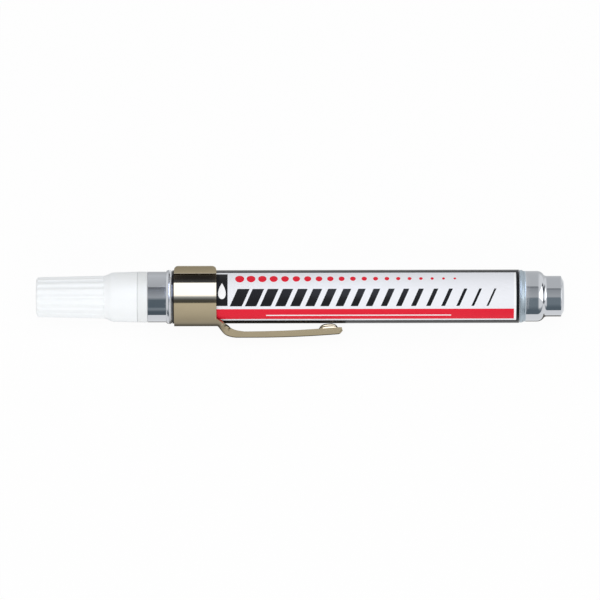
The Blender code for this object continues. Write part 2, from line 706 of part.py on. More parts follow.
# The origin lies on the table under the middle of the pen
def stand_on_table():
    pen_axis.rotation_euler = (-rest_roll(), 0.0, 0.0)
    bpy.context.view_layer.update()
    depsgraph = bpy.context.evaluated_depsgraph_get()
    corners = []
    for part in parts.objects:
        if part.type == "EMPTY":
            continue
        evaluated = part.evaluated_get(depsgraph)
        mesh = evaluated.to_mesh()
        corners += [evaluated.matrix_world @ vert.co for vert in mesh.vertices]
        evaluated.to_mesh_clear()
    low = [min(corner[k] for corner in corners) for k in range(3)]
    high = [max(corner[k] for corner in corners) for k in range(3)]
    pen_axis.location = (-(low[0] + high[0]) / 2, -(low[1] + high[1]) / 2, -low[2])
    bpy.context.view_layer.update()


make_barrel()
make_label()
make_tip_holder()
make_mouth_seal()
make_valve()
make_valve_spring()
make_nib()
make_cap()
make_clip_band()
make_clip_arm()
stand_on_table()
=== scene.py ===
# Fine meshes and finishes for the valve-action cleaning pen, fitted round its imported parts
import json
import math
from functools import partial

import bmesh
import bpy
from mathutils import Matrix, Vector


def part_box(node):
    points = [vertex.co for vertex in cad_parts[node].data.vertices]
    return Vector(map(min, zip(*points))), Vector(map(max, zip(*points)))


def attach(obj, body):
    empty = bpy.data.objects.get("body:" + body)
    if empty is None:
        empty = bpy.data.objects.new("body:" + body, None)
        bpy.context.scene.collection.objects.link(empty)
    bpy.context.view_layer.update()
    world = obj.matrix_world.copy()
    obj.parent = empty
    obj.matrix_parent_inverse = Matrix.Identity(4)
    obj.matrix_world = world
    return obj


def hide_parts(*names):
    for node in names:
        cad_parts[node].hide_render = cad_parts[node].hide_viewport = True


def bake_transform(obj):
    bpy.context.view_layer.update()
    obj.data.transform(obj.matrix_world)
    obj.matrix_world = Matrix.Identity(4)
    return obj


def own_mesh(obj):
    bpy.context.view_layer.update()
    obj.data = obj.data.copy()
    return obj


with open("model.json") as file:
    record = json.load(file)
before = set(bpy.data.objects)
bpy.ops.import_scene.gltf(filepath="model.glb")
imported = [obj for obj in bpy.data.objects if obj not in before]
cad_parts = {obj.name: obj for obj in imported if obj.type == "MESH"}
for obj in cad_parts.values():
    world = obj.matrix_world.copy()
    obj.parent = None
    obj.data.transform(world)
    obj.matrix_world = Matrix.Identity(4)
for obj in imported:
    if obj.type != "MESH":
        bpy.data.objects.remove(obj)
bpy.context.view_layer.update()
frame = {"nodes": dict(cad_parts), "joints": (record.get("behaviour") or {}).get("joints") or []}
joints = {joint["name"]: joint for joint in frame["joints"]}

# Pen space is in millimetres: x runs from the collar's rear face to the tail,
# minus y faces the camera and the clip lies at minus z
mm = 0.001
mouthGap = 0.3
along = Vector((1.0, 0.0, 0.0))
sideways = Vector(joints["clip_flex"]["axis"]).normalized()
upright = along.cross(sideways)
penStart = Vector(joints["clip_turn"]["pos_m"])
penStart.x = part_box("barrel")[0].x - mouthGap * mm
penPlace = Matrix.Translation(penStart) @ Matrix((along, sideways, upright)).transposed().to_4x4()


def penPoint(x, y, z):
    return penPlace @ (Vector((x, y, z)) * mm)


# Camera

photoView = {
    "distance": 2000.0,      # from the pen's axis, in mm
    "fieldWidth": 159.4,     # what the 600 pixel frame takes in at the axis, in mm
    "aimHeight": -0.885,     # the frame's middle lies this far below the axis, in mm
    "aimX": 40.465,          # the frame's middle along the pen
    "roll": -0.12,           # degrees
}

aim = penPoint(photoView["aimX"], 0.0, photoView["aimHeight"])
cameraData = bpy.data.cameras.new("photoCamera")
cameraData.sensor_width = 36.0
cameraData.angle = 2 * math.atan(photoView["fieldWidth"] / 2 / photoView["distance"])
cameraData.clip_start = 0.01
cameraData.clip_end = 20.0
camera = bpy.data.objects.new("photoCamera", cameraData)
bpy.context.scene.collection.objects.link(camera)
facing = Matrix((along, upright, -sideways)).transposed().to_4x4()
camera.matrix_world = (
    Matrix.Translation(aim - sideways * photoView["distance"] * mm)
    @ facing
    @ Matrix.Rotation(math.radians(photoView["roll"]), 4, "Z")
)
bpy.context.scene.camera = camera
print("camera: looks across the pen from", round(math.degrees(math.asin(-sideways.z)), 1), "degrees up")


# Mesh tools

# Corners are (x, r) or (x, r, rounding); a rounding becomes an arc of a few steps
def rounded(corners, steps=5):
    points = []
    for i, corner in enumerate(corners):
        here = Vector(corner[:2])
        if len(corner) == 2:
            points.append(here)
            continue
        back = Vector(corners[i - 1][:2]) - here
        ahead = Vector(corners[i + 1][:2]) - here
        half = back.angle(ahead) / 2
        # it takes up just under half of a side, so that two never meet
        reach = min(corner[2] / math.tan(half), back.length * 0.49, ahead.length * 0.49)
        radius = reach * math.tan(half)
        centre = here + (back.normalized() + ahead.normalized()).normalized() * radius / math.sin(half)
        first = here + back.normalized() * reach - centre
        last = here + ahead.normalized() * reach - centre
        sweep = first.angle(last)
        for k in range(steps + 1):
            turn = sweep * k / steps
            spoke = first * math.sin(sweep - turn) + last * math.sin(turn)
            points.append(centre + spoke / math.sin(sweep))
    return [(point.x, point.y) for point in points]


# A curve of steps from one (x, r) to another: bend 0 is a straight cone, 1 a full S
def eased(first, last, bend, steps):
    points = []
    for k in range(steps + 1):
        t = k / steps
        share = t - bend * math.sin(2 * math.pi * t) / (2 * math.pi)
        points.append((first[0] + (last[0] - first[0]) * t, first[1] + (last[1] - first[1]) * share))
    return points


# Two arcs that run level out of one (x, r) and into another; they join at meet, a share of the way
def swept(first, last, meet, steps):
    run, drop = last[0] - first[0], last[1] - first[1]
    steepest = 2 * math.atan(abs(drop / run))
    points = []
    for k in range(2 * steps + 1):
        near, corner = (meet, first) if k <= steps else (meet - 1.0, last)
        turn = steepest * (1.0 - abs(k / steps - 1.0))
        radius = near * run / math.sin(steepest)
        points.append((corner[0] + radius * math.sin(turn),
                       corner[1] + abs(radius) * (1.0 - math.cos(turn)) * math.copysign(1.0, drop * near)))
    return points


# Half-round ridge of a given height between two stations on a cylinder
def ridge(x0, x1, r, height, steps):
    turns = [math.pi * k / steps for k in range(steps + 1)]
    return [((x0 + x1) / 2 + (x0 - x1) / 2 * math.cos(a), r + height * math.sin(a)) for a in turns]


# Quarter of an ellipse, square to the axis at the first point and level with it at the last
def quarterRound(first, last, steps):
    turns = [math.pi / 2 * k / steps for k in range(steps + 1)]
    return [(first[0] + (last[0] - first[0]) * (1 - math.cos(a)),
             first[1] + (last[1] - first[1]) * math.sin(a)) for a in turns]


def finishMesh(name, form, sharpAngle=35.0):
    bmesh.ops.recalc_face_normals(form, faces=form.faces)
    mesh = bpy.data.meshes.new(name)
    form.to_mesh(mesh)
    form.free()
    mesh.shade_smooth()
    mesh.set_sharp_from_angle(angle=math.radians(sharpAngle))
    return mesh


# Turns an outline of (x, r) points about the pen's axis; angle 0 faces the camera.
# A closed outline goes round a wall, an open one starts and ends on the axis.
def turnedMesh(name, outline, sides, closed=True, swell=None):
    form = bmesh.new()
    rings = []
    for x, r in outline:
        if r < 1e-6:
            rings.append([form.verts.new((x * mm, 0.0, 0.0))])
            continue
        ring = []
        for i in range(sides):
            angle = 2 * math.pi * i / sides
            radius = (r + swell(x, r, angle)) * mm if swell else r * mm
            ring.append(form.verts.new((x * mm, -radius * math.cos(angle), radius * math.sin(angle))))
        rings.append(ring)
    pairs = list(zip(rings, rings[1:]))
    if closed:
        pairs.append((rings[-1], rings[0]))
    for a, b in pairs:
        if len(a) == len(b) == 1:     # a step along the axis
            continue
        for i in range(sides):
            j = (i + 1) % sides
            corners = [a[i % len(a)], a[j % len(a)], b[j % len(b)], b[i % len(b)]]
            form.faces.new(list(dict.fromkeys(corners)))
    return finishMesh(name, form)


# Puts a piece in the pen's place, on a body, instead of CAD nodes
def addPiece(mesh, material, body, slot, *nodes):
    piece = bpy.data.objects.new(mesh.name, mesh)
    mesh.materials.append(material)
    bpy.context.scene.collection.objects.link(piece)
    piece.matrix_world = penPlace
    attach(piece, body)
    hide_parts(*nodes)
    print("piece:", mesh.name, len(mesh.vertices), "points on", body)
    return piece


# Material tools

def linear(hexColour):
    parts = [int(hexColour[i:i + 2], 16) / 255 for i in (1, 3, 5)]
    return [p / 12.92 if p <= 0.04045 else ((p + 0.055) / 1.055) ** 2.4 for p in parts] + [1.0]


# A new material, and the function that adds nodes to it
def startMaterial(name):
    material = bpy.data.materials.new(name)
    material.use_nodes = True
    material.node_tree.nodes.clear()
    return material, partial(addNode, material.node_tree)


# Texture scale for a pattern that repeats once in a size in mm
def repeatEach(size):
    return 1 / (size * mm)


# Adds a node: a setting that is a node or a socket is linked, any other is an option or a value
def addNode(tree, kind, settings):
    node = tree.nodes.new("ShaderNode" + kind)
    for key, value in settings.items():
        if isinstance(value, bpy.types.Node):
            value = next(socket for socket in value.outputs if socket.enabled)
        if isinstance(value, bpy.types.NodeSocket):
            tree.links.new(value, node.inputs[key])
        elif isinstance(key, int) or key in node.inputs:
            node.inputs[key].default_value = value
        else:
            setattr(node, key, value)
    return node


# Barrel

barrel = {
    "radius": 6.72,
    "wall": 0.45,
    "mouth": 0.05,            # closed up to the collar, as it looks in the photo
    "bead": (4.95, 6.53),
    "beadHeight": 0.46,
    "beadRoughness": 0.2,     # what the rolled bead adds, being duller than the tube
    "ring": (98.78, 99.38),
    "ringRadius": 7.0,
    "scoreLine": 100.05,      # fine line turned round the rear
    "scoreDepth": 0.05,
    "scoreHalf": 0.1,         # half of its width
    "shoulder": (103.38, 105.98),
    "shoulderMeet": 0.68,     # where its round turns into its fillet, as a share of its length
    "tailRadius": 5.4,
    "tailEdge": 109.75,
    "tailEnd": 110.48,
    "faceRadius": 4.1,
    "floor": 0.8,
    "floorFillet": 0.9,
    "hold": 0.2,              # mesh lines this near to a ridge or a bend keep the tube beside it even
    "ridgeSteps": 14,
    "bendSteps": 12,
    "sides": 160,
    "colour": "#C9CCD1",
    # the satin zone's darker blue-grey colour is painted reflection
    "satinPaintedReflection": "#A8B5BE",
    "matteZone": (98.6, 100.3),
    "matteRoughness": 0.34,   # what that zone adds
    "roughness": (0.02, 0.045),
    "polishLines": (0.2, 8.33),          # how far apart and how long
    "polishDepth": 0.02,
    "handlingMarks": 5.88,    # across
}


# Impact-extruded aluminium, polished on a lathe: clear but slightly soft reflections,
# faint lines round the tube, and a satin zone at the label's end whose blue-grey tint is painted reflection
def polishedAluminium(sizes):
    material, add = startMaterial("polishedAluminium")
    place = add("TexCoord", {}).outputs["Object"]
    axes = add("SeparateXYZ", {0: place})
    station = add("Math", {"operation": "MULTIPLY", 0: axes.outputs["X"], 1: 1 / mm})
    # the lines are drawn coarser than real so that they show
    apart, length = map(repeatEach, sizes["polishLines"])
    stretched = add("Mapping", {"Vector": place, "Scale": (apart, length, length)})
    lines = add("TexNoise", {"Vector": stretched, "Scale": 1.0, "Detail": 3.0})
    marks = add("TexNoise", {"Vector": place, "Scale": repeatEach(sizes["handlingMarks"]), "Detail": 4.0})
    low, high = sizes["roughness"]
    gloss = add("MapRange", {"Value": marks, "To Min": low, "To Max": high})
    for name, added in (("bead", sizes["beadRoughness"]), ("matteZone", sizes["matteRoughness"])):
        first, last = sizes[name]
        zone = add("Math", {"operation": "COMPARE", 0: station, 1: (first + last) / 2, 2: (last - first) / 2})
        gloss = add("Math", {"operation": "MULTIPLY_ADD", 0: zone, 1: added, 2: gloss})
    # painted reflection: the satin zone's base colour is a darker blue-grey; its roughness is real
    tint = add("Mix", {"data_type": "RGBA", 0: zone, 6: linear(sizes["colour"]), 7: linear(sizes["satinPaintedReflection"])})
    bump = add("Bump", {"Height": lines, "Strength": 0.05, "Distance": sizes["polishDepth"] * mm})
    shader = add("BsdfPrincipled", {"Base Color": tint, "Metallic": 1.0, "Roughness": gloss, "Normal": bump})
    add("OutputMaterial", {"Surface": shader})
    return material


def makeBarrel(sizes):
    r = sizes["radius"]
    bore = r - sizes["wall"]
    mouth = sizes["mouth"]
    bead = sizes["bead"]
    height = sizes["beadHeight"]
    ring = sizes["ring"]
    ringRadius = sizes["ringRadius"]
    line = sizes["scoreLine"]
    half = sizes["scoreHalf"]
    shoulder = sizes["shoulder"]
    tail = sizes["tailRadius"]
    tailBore = tail - sizes["wall"]
    edge = sizes["tailEdge"]
    end = sizes["tailEnd"]
    floor = end - sizes["floor"]
    fillet = sizes["floorFillet"]
    hold = sizes["hold"]
    outline = rounded([(mouth + 1.0, bore), (mouth, bore, 0.1), (mouth, r, 0.08), (mouth + 0.3, r)])
    outline += [(bead[0] - hold, r)] + ridge(*bead, r, height, sizes["ridgeSteps"])
    outline += rounded([(bead[1] + hold, r), (ring[0], r, 0.05), (ring[0], ringRadius, 0.08),
                        (ring[1], ringRadius, 0.15), (ring[1] + 0.35, r, 0.25), (line - half, r)])
    outline += [(line, r - sizes["scoreDepth"]), (line + half, r), (line + half + hold, r)]
    outline += [(shoulder[0] - hold, r)]
    outline += swept((shoulder[0], r), (shoulder[1], tail), sizes["shoulderMeet"], sizes["bendSteps"])
    outline += [(shoulder[1] + hold, tail)]
    outline += rounded([(edge - 0.4, tail), (edge, tail, 0.18), (end, sizes["faceRadius"], 0.15), (end, 2.0)])
    outline += [(end, 0.0), (floor, 0.0), (floor, tailBore - fillet), (floor - fillet, tailBore)]
    outline += eased((shoulder[1], tailBore), (shoulder[0], bore), bend=0.5, steps=sizes["bendSteps"])
    outline += ridge(bead[1], bead[0], bore, height, sizes["ridgeSteps"])
    mesh = turnedMesh("barrelTube", outline, sizes["sides"])
    addPiece(mesh, polishedAluminium(sizes), "barrel", "polished_aluminium", "barrel")


makeBarrel(barrel)


# Printed sleeve

label = {
    "front": 6.58,
    "rear": 98.66,
    "bore": 6.84,
    "radius": 7.08,
    "seamAngle": 168.0,       # degrees from the camera's side, where the film overlaps itself
    "seamWidth": 14.0,
    "seamSlope": 2.0,
    "filmStep": 0.04,
    "sides": 180,
    "film": "#EAECF2",
    # the sleeve round the back is a darker grey of the same film: painted shade
    "backFilmPaintedShade": "#D3D6DD",
    "ink": "#111216",
    "red": "#E02036",
    "white": "#F6F7F9",
    # print in mm: ink, from and to along the pen, from and to round the sleeve from the camera's side
    "boxes": [
        ("film", 6.58, 98.66, -7.7, 7.8),
        ("ink", 6.58, 7.6, -7.7, 7.8),
        ("ink", 97.75, 98.6, -7.7, 7.8),
        ("white", 97.15, 97.75, -7.7, 7.8),
        ("ink", 6.58, 98.55, 7.8, 11.0),
        ("ink", 6.58, 98.55, -11.6, -7.7),
        ("red", 9.0, 97.15, -7.0, -3.4),
        ("white", 31.5, 80.5, -5.65, -5.3),
        ("ink", 12.0, 21.3, -2.5, 7.1),
    ],
    # bars and dots stand in cells of one pitch along the pen. The largest comes first, and they shrink
    # by so much towards the tail: a bar's size is a share of its cell, and a dot's is its radius.
    "bars": {"from": 23.0, "to": 95.0, "low": -2.6, "high": 2.1, "pitch": 4.0, "largest": 0.8, "shrink": 0.7},
    "barSlant": 0.45,
    "dots": {"from": 23.0, "to": 83.0, "low": 4.0, "high": 6.4, "pitch": 3.0, "largest": 1.2, "shrink": 0.9},
    "drop": {"x": 19.8, "low": -0.6, "height": 4.4, "halfWidth": 1.0},
    "roughness": (0.27, 0.35),
    "ripple": 1.11,           # of the varnish
    "rippleDepth": 0.03,
}


# Polyester film, flexo printed and varnished: flat inks under an even satin shine
def printedFilm(sizes):
    material, add = startMaterial("printedPolyesterFilm")
    place = add("TexCoord", {}).outputs["Object"]
    axes = add("SeparateXYZ", {0: place})
    x = add("Math", {"operation": "MULTIPLY", 0: axes.outputs["X"], 1: 1 / mm})
    forward = add("Math", {"operation": "MULTIPLY", 0: axes.outputs["Y"], 1: -1.0})
    turn = add("Math", {"operation": "ARCTAN2", 0: axes.outputs["Z"], 1: forward})
    h = add("Math", {"operation": "MULTIPLY", 0: turn, 1: sizes["radius"]})

    # 1 where each of two values lies within its span, and 0 elsewhere
    def boxMask(first, firstSpan, second, secondSpan):
        sides = []
        for value, (low, high) in ((first, firstSpan), (second, secondSpan)):
            sides.append(add("Math", {"operation": "COMPARE", 0: value, 1: (low + high) / 2,
                                      2: (high - low) / 2}))
        return add("Math", {"operation": "MULTIPLY", 0: sides[0], 1: sides[1]})

    # a row of cells along the pen: the share of the way through a cell, its size, and a mask of the row
    def cells(value, row):
        count = (row["to"] - row["from"]) / row["pitch"]
        cell = add("MapRange", {"clamp": False, "Value": value, "From Min": row["from"],
                                "From Max": row["to"], "To Max": count})
        share = add("Math", {"operation": "FRACT", 0: cell})
        number = add("Math", {"operation": "FLOOR", 0: cell})
        size = add("Math", {"operation": "MULTIPLY_ADD", 0: number, 1: -row["shrink"] / count,
                            2: row["largest"]})
        return share, size, boxMask(cell, (0.0, count), h, (row["low"], row["high"]))

    layers = [(boxMask(x, (x0, x1), h, (h0, h1)), ink) for ink, x0, x1, h0, h1 in sizes["boxes"]]

    leaning = add("Math", {"operation": "MULTIPLY_ADD", 0: h, 1: -sizes["barSlant"], 2: x})
    share, size, row = cells(leaning, sizes["bars"])
    mask = add("Math", {"operation": "LESS_THAN", 0: share, 1: size})
    layers.append((add("Math", {"operation": "MULTIPLY", 0: mask, 1: row}), "ink"))

    dots = sizes["dots"]
    share, size, row = cells(x, dots)
    across = add("Math", {"operation": "MULTIPLY_ADD", 0: share, 1: dots["pitch"], 2: -dots["pitch"] / 2})
    rise = add("Math", {"operation": "SUBTRACT", 0: h, 1: (dots["low"] + dots["high"]) / 2})
    offset = add("CombineXYZ", {"X": across, "Y": rise})
    away = add("VectorMath", {"operation": "LENGTH", 0: offset})
    mask = add("Math", {"operation": "LESS_THAN", 0: away.outputs["Value"], 1: size})
    layers.append((add("Math", {"operation": "MULTIPLY", 0: mask, 1: row}), "red"))

    # a drop on the dark block, round below and pointed above: its half width goes by root times taper
    drop = sizes["drop"]
    widest = 0.385            # the most that root times taper comes to
    part = add("MapRange", {"Value": h, "From Min": drop["low"], "From Max": drop["low"] + drop["height"]})
    root = add("Math", {"operation": "SQRT", 0: part})
    taper = add("Math", {"operation": "SUBTRACT", 0: 1.0, 1: part})
    half = add("Math", {"operation": "MULTIPLY", 0: root, 1: taper})
    half = add("Math", {"operation": "MULTIPLY", 0: half, 1: drop["halfWidth"] / widest})
    aside = add("Math", {"operation": "SUBTRACT", 0: x, 1: drop["x"]})
    aside = add("Math", {"operation": "ABSOLUTE", 0: aside})
    layers.append((add("Math", {"operation": "LESS_THAN", 0: aside, 1: half}), "white"))

    # the back starts as the darker grey of painted shade, and the front's film and print lie over it
    colour = linear(sizes["backFilmPaintedShade"])
    for mask, ink in layers:
        colour = add("Mix", {"data_type": "RGBA", 0: mask, 6: colour, 7: linear(sizes[ink])})
    ripple = add("TexNoise", {"Vector": place, "Scale": repeatEach(sizes["ripple"]), "Detail": 2.0})
    low, high = sizes["roughness"]
    gloss = add("MapRange", {"Value": ripple, "To Min": low, "To Max": high})
    bump = add("Bump", {"Height": ripple, "Strength": 0.04, "Distance": sizes["rippleDepth"] * mm})
    shader = add("BsdfPrincipled", {"Base Color": colour, "IOR": 1.5, "Specular IOR Level": 0.15,
                                    "Roughness": gloss, "Normal": bump})
    add("OutputMaterial", {"Surface": shader})
    return material


def makeLabel(sizes):
    front = sizes["front"]
    rear = sizes["rear"]
    bore = sizes["bore"]
    r = sizes["radius"]
    middle = (front + rear) / 2

    # the film's second layer, which starts with a short slope
    def overlap(x, radius, angle):
        past = math.degrees(angle) - sizes["seamAngle"]
        if radius < bore + 0.05 or not 0.0 <= past <= sizes["seamWidth"]:
            return 0.0
        return sizes["filmStep"] * min(1.0, past / sizes["seamSlope"])

    outline = rounded([(middle, bore), (front, bore, 0.03), (front, r, 0.06), (rear, r, 0.06),
                       (rear, bore, 0.03), (middle + 0.1, bore)])
    mesh = turnedMesh("labelSleeve", outline, sizes["sides"], swell=overlap)
    addPiece(mesh, printedFilm(sizes), "barrel", "label_film", "label_sleeve")


makeLabel(label)


# Tip holder and cap

holder = {
    "plugRear": 9.04,
    "plug": 6.07,
    "plugBead": (5.15, 6.33),
    "plugBeadHeight": 0.46,
    "groove": (2.0, 3.4),
    "grooveRadius": 4.87,
    "bore": 4.22,
    "boreStep": 1.7,
    "collar": 2.65,
    "collarRadius": 6.72,
    "spigot": 5.42,
    "spigotFront": -9.3,
    "capBead": (-6.3, -5.3),  # holds the cap
    "capBeadHeight": 0.16,
    "coneRear": 4.92,         # radius where the cone starts
    "coneFront": -14.2,
    "coneEnd": 3.3,           # radius where it ends
    "land": 3.1,
    "noseEnd": -16.0,
    "nibBore": 2.45,
    "socketSeat": -5.0,
    "socketBore": 3.3,
    "sides": 120,
    "colour": "#EFF2F3",
    "shade": "#E6E9EA",
}

cap = {
    "front": -29.55,
    "floor": -28.2,
    # hollow of the front: (depth, radius)
    "dish": [(0.12, 0.0), (0.08, 1.2), (0.02, 2.6), (0.0, 3.4), (0.0, 4.2)],
    "gripFront": 5.35,
    "gripRear": 5.7,
    "gripBore": 4.35,
    "frontEdge": 0.9,
    "flare": (-11.5, -9.1),
    "skirtFront": 6.52,
    "rim": -2.7,
    "rimRadius": 6.72,
    "skirtBore": 5.72,
    "flutes": 18,
    "fluteRadius": 1.0,
    "fluteDepth": 0.3,
    "fluteSoft": 0.035,       # rounding of its edges
    "fluteTrace": 0.02,       # softening slighter than this share of it is left out
    "fluteEnd": 0.12,         # length over which it runs out at the flare
    "fluteSteps": 20,         # faces round one flute and its land
    "gripRows": 14,
    "colour": "#F8FBFD",
    "shade": "#F2F5F7",
}

liner = {
    "front": -27.9,
    "floor": -27.2,
    "rim": -14.5,
    "bore": 3.4,
    "radius": 4.05,
    "sides": 72,
}


polythene = {
    "toolGrain": 0.303,
    "grainDepth": 0.03,
    "flowMarks": 5.0,         # across
    "roughness": (0.33, 0.45),
    "lightDepth": 0.6,        # how far light goes in
}


# Polythene, injection moulded in a lightly blasted tool: milky, with soft-edged highlights
# and light that enters a little
def mouldedPolythene(name, looks, colours):
    material, add = startMaterial(name)
    place = add("TexCoord", {}).outputs["Object"]
    grain = add("TexNoise", {"Vector": place, "Scale": repeatEach(looks["toolGrain"]), "Detail": 2.0})
    flow = add("TexNoise", {"Vector": place, "Scale": repeatEach(looks["flowMarks"]), "Detail": 3.0})
    low, high = looks["roughness"]
    gloss = add("MapRange", {"Value": flow, "To Min": low, "To Max": high})
    tint = add("Mix", {"data_type": "RGBA", 0: flow, 6: linear(colours["colour"]),
                       7: linear(colours["shade"])})
    bump = add("Bump", {"Height": grain, "Strength": 0.08, "Distance": looks["grainDepth"] * mm})
    shader = add("BsdfPrincipled", {"Base Color": tint, "IOR": 1.51, "Roughness": gloss, "Normal": bump,
                                    "Subsurface Weight": 0.12, "Subsurface Scale": looks["lightDepth"] * mm,
                                    "Subsurface Radius": (1.0, 0.95, 0.9)})
    add("OutputMaterial", {"Surface": shader})
    return material


def makeHolder(sizes, material):
    rear = sizes["plugRear"]
    plug = sizes["plug"]
    bore = sizes["bore"]
    step = sizes["boreStep"]
    bead = sizes["plugBead"]
    groove = sizes["groove"]
    grooveRadius = sizes["grooveRadius"]
    collar = -sizes["collar"]
    collarRadius = sizes["collarRadius"]
    spigot = sizes["spigot"]
    spigotFront = sizes["spigotFront"]
    capBead = sizes["capBead"]
    cone = sizes["coneFront"]
    land = sizes["land"]
    nose = sizes["noseEnd"]
    nibBore = sizes["nibBore"]
    seat = sizes["socketSeat"]
    socketBore = sizes["socketBore"]
    outline = rounded([(rear - 1.0, bore), (rear, bore, 0.15), (rear, plug, 0.4), (rear - 1.0, plug)])
    outline += ridge(bead[1], bead[0], plug, sizes["plugBeadHeight"], steps=12)
    outline += rounded([(groove[1] + 0.5, plug), (groove[1], plug, 0.1), (groove[1], grooveRadius, 0.15),
                        (groove[0], grooveRadius, 0.15), (groove[0], plug, 0.1), (0.0, plug, 0.05),
                        (0.0, collarRadius, 0.1), (collar, collarRadius, 0.12), (collar, spigot, 0.15),
                        (capBead[1] + 0.4, spigot)])
    outline += ridge(capBead[1], capBead[0], spigot, sizes["capBeadHeight"], steps=10)
    outline += rounded([(capBead[0] - 0.4, spigot), (spigotFront, spigot, 0.3),
                        (spigotFront, sizes["coneRear"], 0.15), (cone, sizes["coneEnd"], 0.1),
                        (cone, land, 0.06), (nose, land, 0.3), (nose, nibBore, 0.1), (nose + 1.5, nibBore)])
    outline += rounded([(seat - 1.0, nibBore), (seat, nibBore, 0.1), (seat, socketBore, 0.1),
                        (step, socketBore, 0.1), (step, bore, 0.1), (step + 1.0, bore)])
    mesh = turnedMesh("tipHolder", outline, sizes["sides"])
    addPiece(mesh, material, "barrel", "white_polythene", "tip_holder")


def makeCap(sizes, material):
    front = sizes["front"]
    floor = sizes["floor"]
    rim = sizes["rim"]
    flare, flareRear = sizes["flare"]
    gripFront = sizes["gripFront"]
    gripGain = sizes["gripRear"] - gripFront
    gripBore = sizes["gripBore"]
    skirtFront = sizes["skirtFront"]
    skirtBore = sizes["skirtBore"]
    pitch = 2 * math.pi / sizes["flutes"]
    radius = sizes["fluteRadius"]
    soft = sizes["fluteSoft"]
    fluteEnd = sizes["fluteEnd"]

    # how far a flute takes the surface in, with its edges softened as a moulding's are
    def flute(x, r, angle):
        past = x - flare + fluteEnd
        if past > fluteEnd or r < gripBore + 0.2:
            return 0.0
        grip = gripFront + gripGain * max(0.0, x - front) / (flare - front)
        off = ((angle / pitch) % 1.0 - 0.5) * pitch
        centre = grip - sizes["fluteDepth"] + radius
        side = centre * math.sin(off)
        if abs(side) >= radius:
            return 0.0
        hollow = centre * math.cos(off) - math.sqrt(radius ** 2 - side ** 2)
        reach = r - soft * math.log(math.exp((r - hollow) / soft) + 1.0)
        share = 1.0 if past <= 0.0 else 1.0 - past / fluteEnd
        return min(0.0, reach - r + soft * sizes["fluteTrace"]) * share

    edge = quarterRound((front, gripFront - sizes["frontEdge"]), (front + sizes["frontEdge"], gripFront),
                        steps=8)
    outline = [(floor, 0.0)] + [(front + depth, r) for depth, r in sizes["dish"]] + edge
    gripStart = edge[-1][0]
    gripEnd = flare - fluteEnd - 0.02
    for k in range(1, sizes["gripRows"] + 1):
        t = k / sizes["gripRows"]
        outline.append((gripStart + (gripEnd - gripStart) * t, gripFront + gripGain * t))
    outline += eased((flare, sizes["gripRear"]), (flareRear, skirtFront), bend=0.5, steps=14)
    outline += rounded([(flareRear + 1.5, skirtFront + 0.05), (rim, sizes["rimRadius"], 0.12),
                        (rim, skirtBore, 0.2), (flare + 1.8, skirtBore, 0.2), (flare, gripBore, 0.2),
                        (floor, gripBore, 0.3), (floor, 2.0)])
    mesh = turnedMesh("capShell", outline, sizes["flutes"] * sizes["fluteSteps"], swell=flute)
    addPiece(mesh, material, "cap", "white_polythene", "cap_shell")


def makeLiner(sizes, material):
    front = sizes["front"]
    floor = sizes["floor"]
    rim = sizes["rim"]
    bore = sizes["bore"]
    r = sizes["radius"]
    outline = rounded([(floor, 0.0), (floor, bore, 0.4), (rim, bore, 0.2), (rim, r, 0.12), (front, r, 0.3),
                       (front, 0.0)])
    mesh = turnedMesh("capLiner", outline, sizes["sides"], closed=False)
    addPiece(mesh, material, "cap", "white_polythene", "cap_liner")


capPolythene = mouldedPolythene("whiteMouldedPolythene", polythene, cap)
holderPolythene = mouldedPolythene("naturalMouldedPolythene", polythene, holder)
makeHolder(holder, holderPolythene)
makeCap(cap, capPolythene)
makeLiner(liner, holderPolythene)


# Fibre tip

nib = {
    "tip": -20.4,
    "rear": -2.0,
    "radius": 2.25,
    "pointLength": 2.2,
    "inset": 0.02,
    "waves": [(0.012, 5, 1.0), (0.01, 11, -2.3)],      # unevenness: (height, waves round, drift along)
    "shaftRows": 12,
    "sides": 72,
    "colour": "#E9E6DA",
    "shade": "#D5D0C0",
    "streaks": (2.86, 0.125),            # how long and how far apart
    "streakDepth": 0.06,
}


# Acrylic fibres bonded into a rod and ground: matt, with fine streaks along the rod
def bondedFibre(sizes):
    material, add = startMaterial("bondedAcrylicFibre")
    place = add("TexCoord", {}).outputs["Object"]
    # fibres are about 0.02 mm thick; the streaks are drawn coarser so that they show
    length, apart = map(repeatEach, sizes["streaks"])
    stretched = add("Mapping", {"Vector": place, "Scale": (length, apart, apart)})
    fibres = add("TexNoise", {"Vector": stretched, "Scale": 1.0, "Detail": 4.0})
    tint = add("Mix", {"data_type": "RGBA", 0: fibres, 6: linear(sizes["shade"]), 7: linear(sizes["colour"])})
    bump = add("Bump", {"Height": fibres, "Strength": 0.5, "Distance": sizes["streakDepth"] * mm})
    shader = add("BsdfPrincipled", {"Base Color": tint, "Roughness": 0.92, "Sheen Weight": 0.25,
                                    "Specular IOR Level": 0.2, "Normal": bump})
    add("OutputMaterial", {"Surface": shader})
    return material


def makeNib(sizes):
    tip = sizes["tip"]
    rear = sizes["rear"]
    radius = sizes["radius"]
    rows = sizes["shaftRows"]

    # the ground point is never quite even
    def uneven(x, r, angle):
        waves = sum(height * math.sin(count * angle + drift * x) for height, count, drift in sizes["waves"])
        return waves - sizes["inset"]

    outline = quarterRound((tip, 0.0), (tip + sizes["pointLength"], radius), steps=14)
    start = outline[-1][0]
    outline += [(start + (rear - start) * k / rows, radius) for k in range(1, rows)]
    outline += [(rear - 0.1, radius), (rear, radius - 0.1), (rear, 0.0)]
    mesh = turnedMesh("fibreNib", outline, sizes["sides"], closed=False, swell=uneven)
    addPiece(mesh, bondedFibre(sizes), "tip", "tip_felt", "nib")


makeNib(nib)


# Pocket clip: one bent strip, with the band round the barrel running into the arm

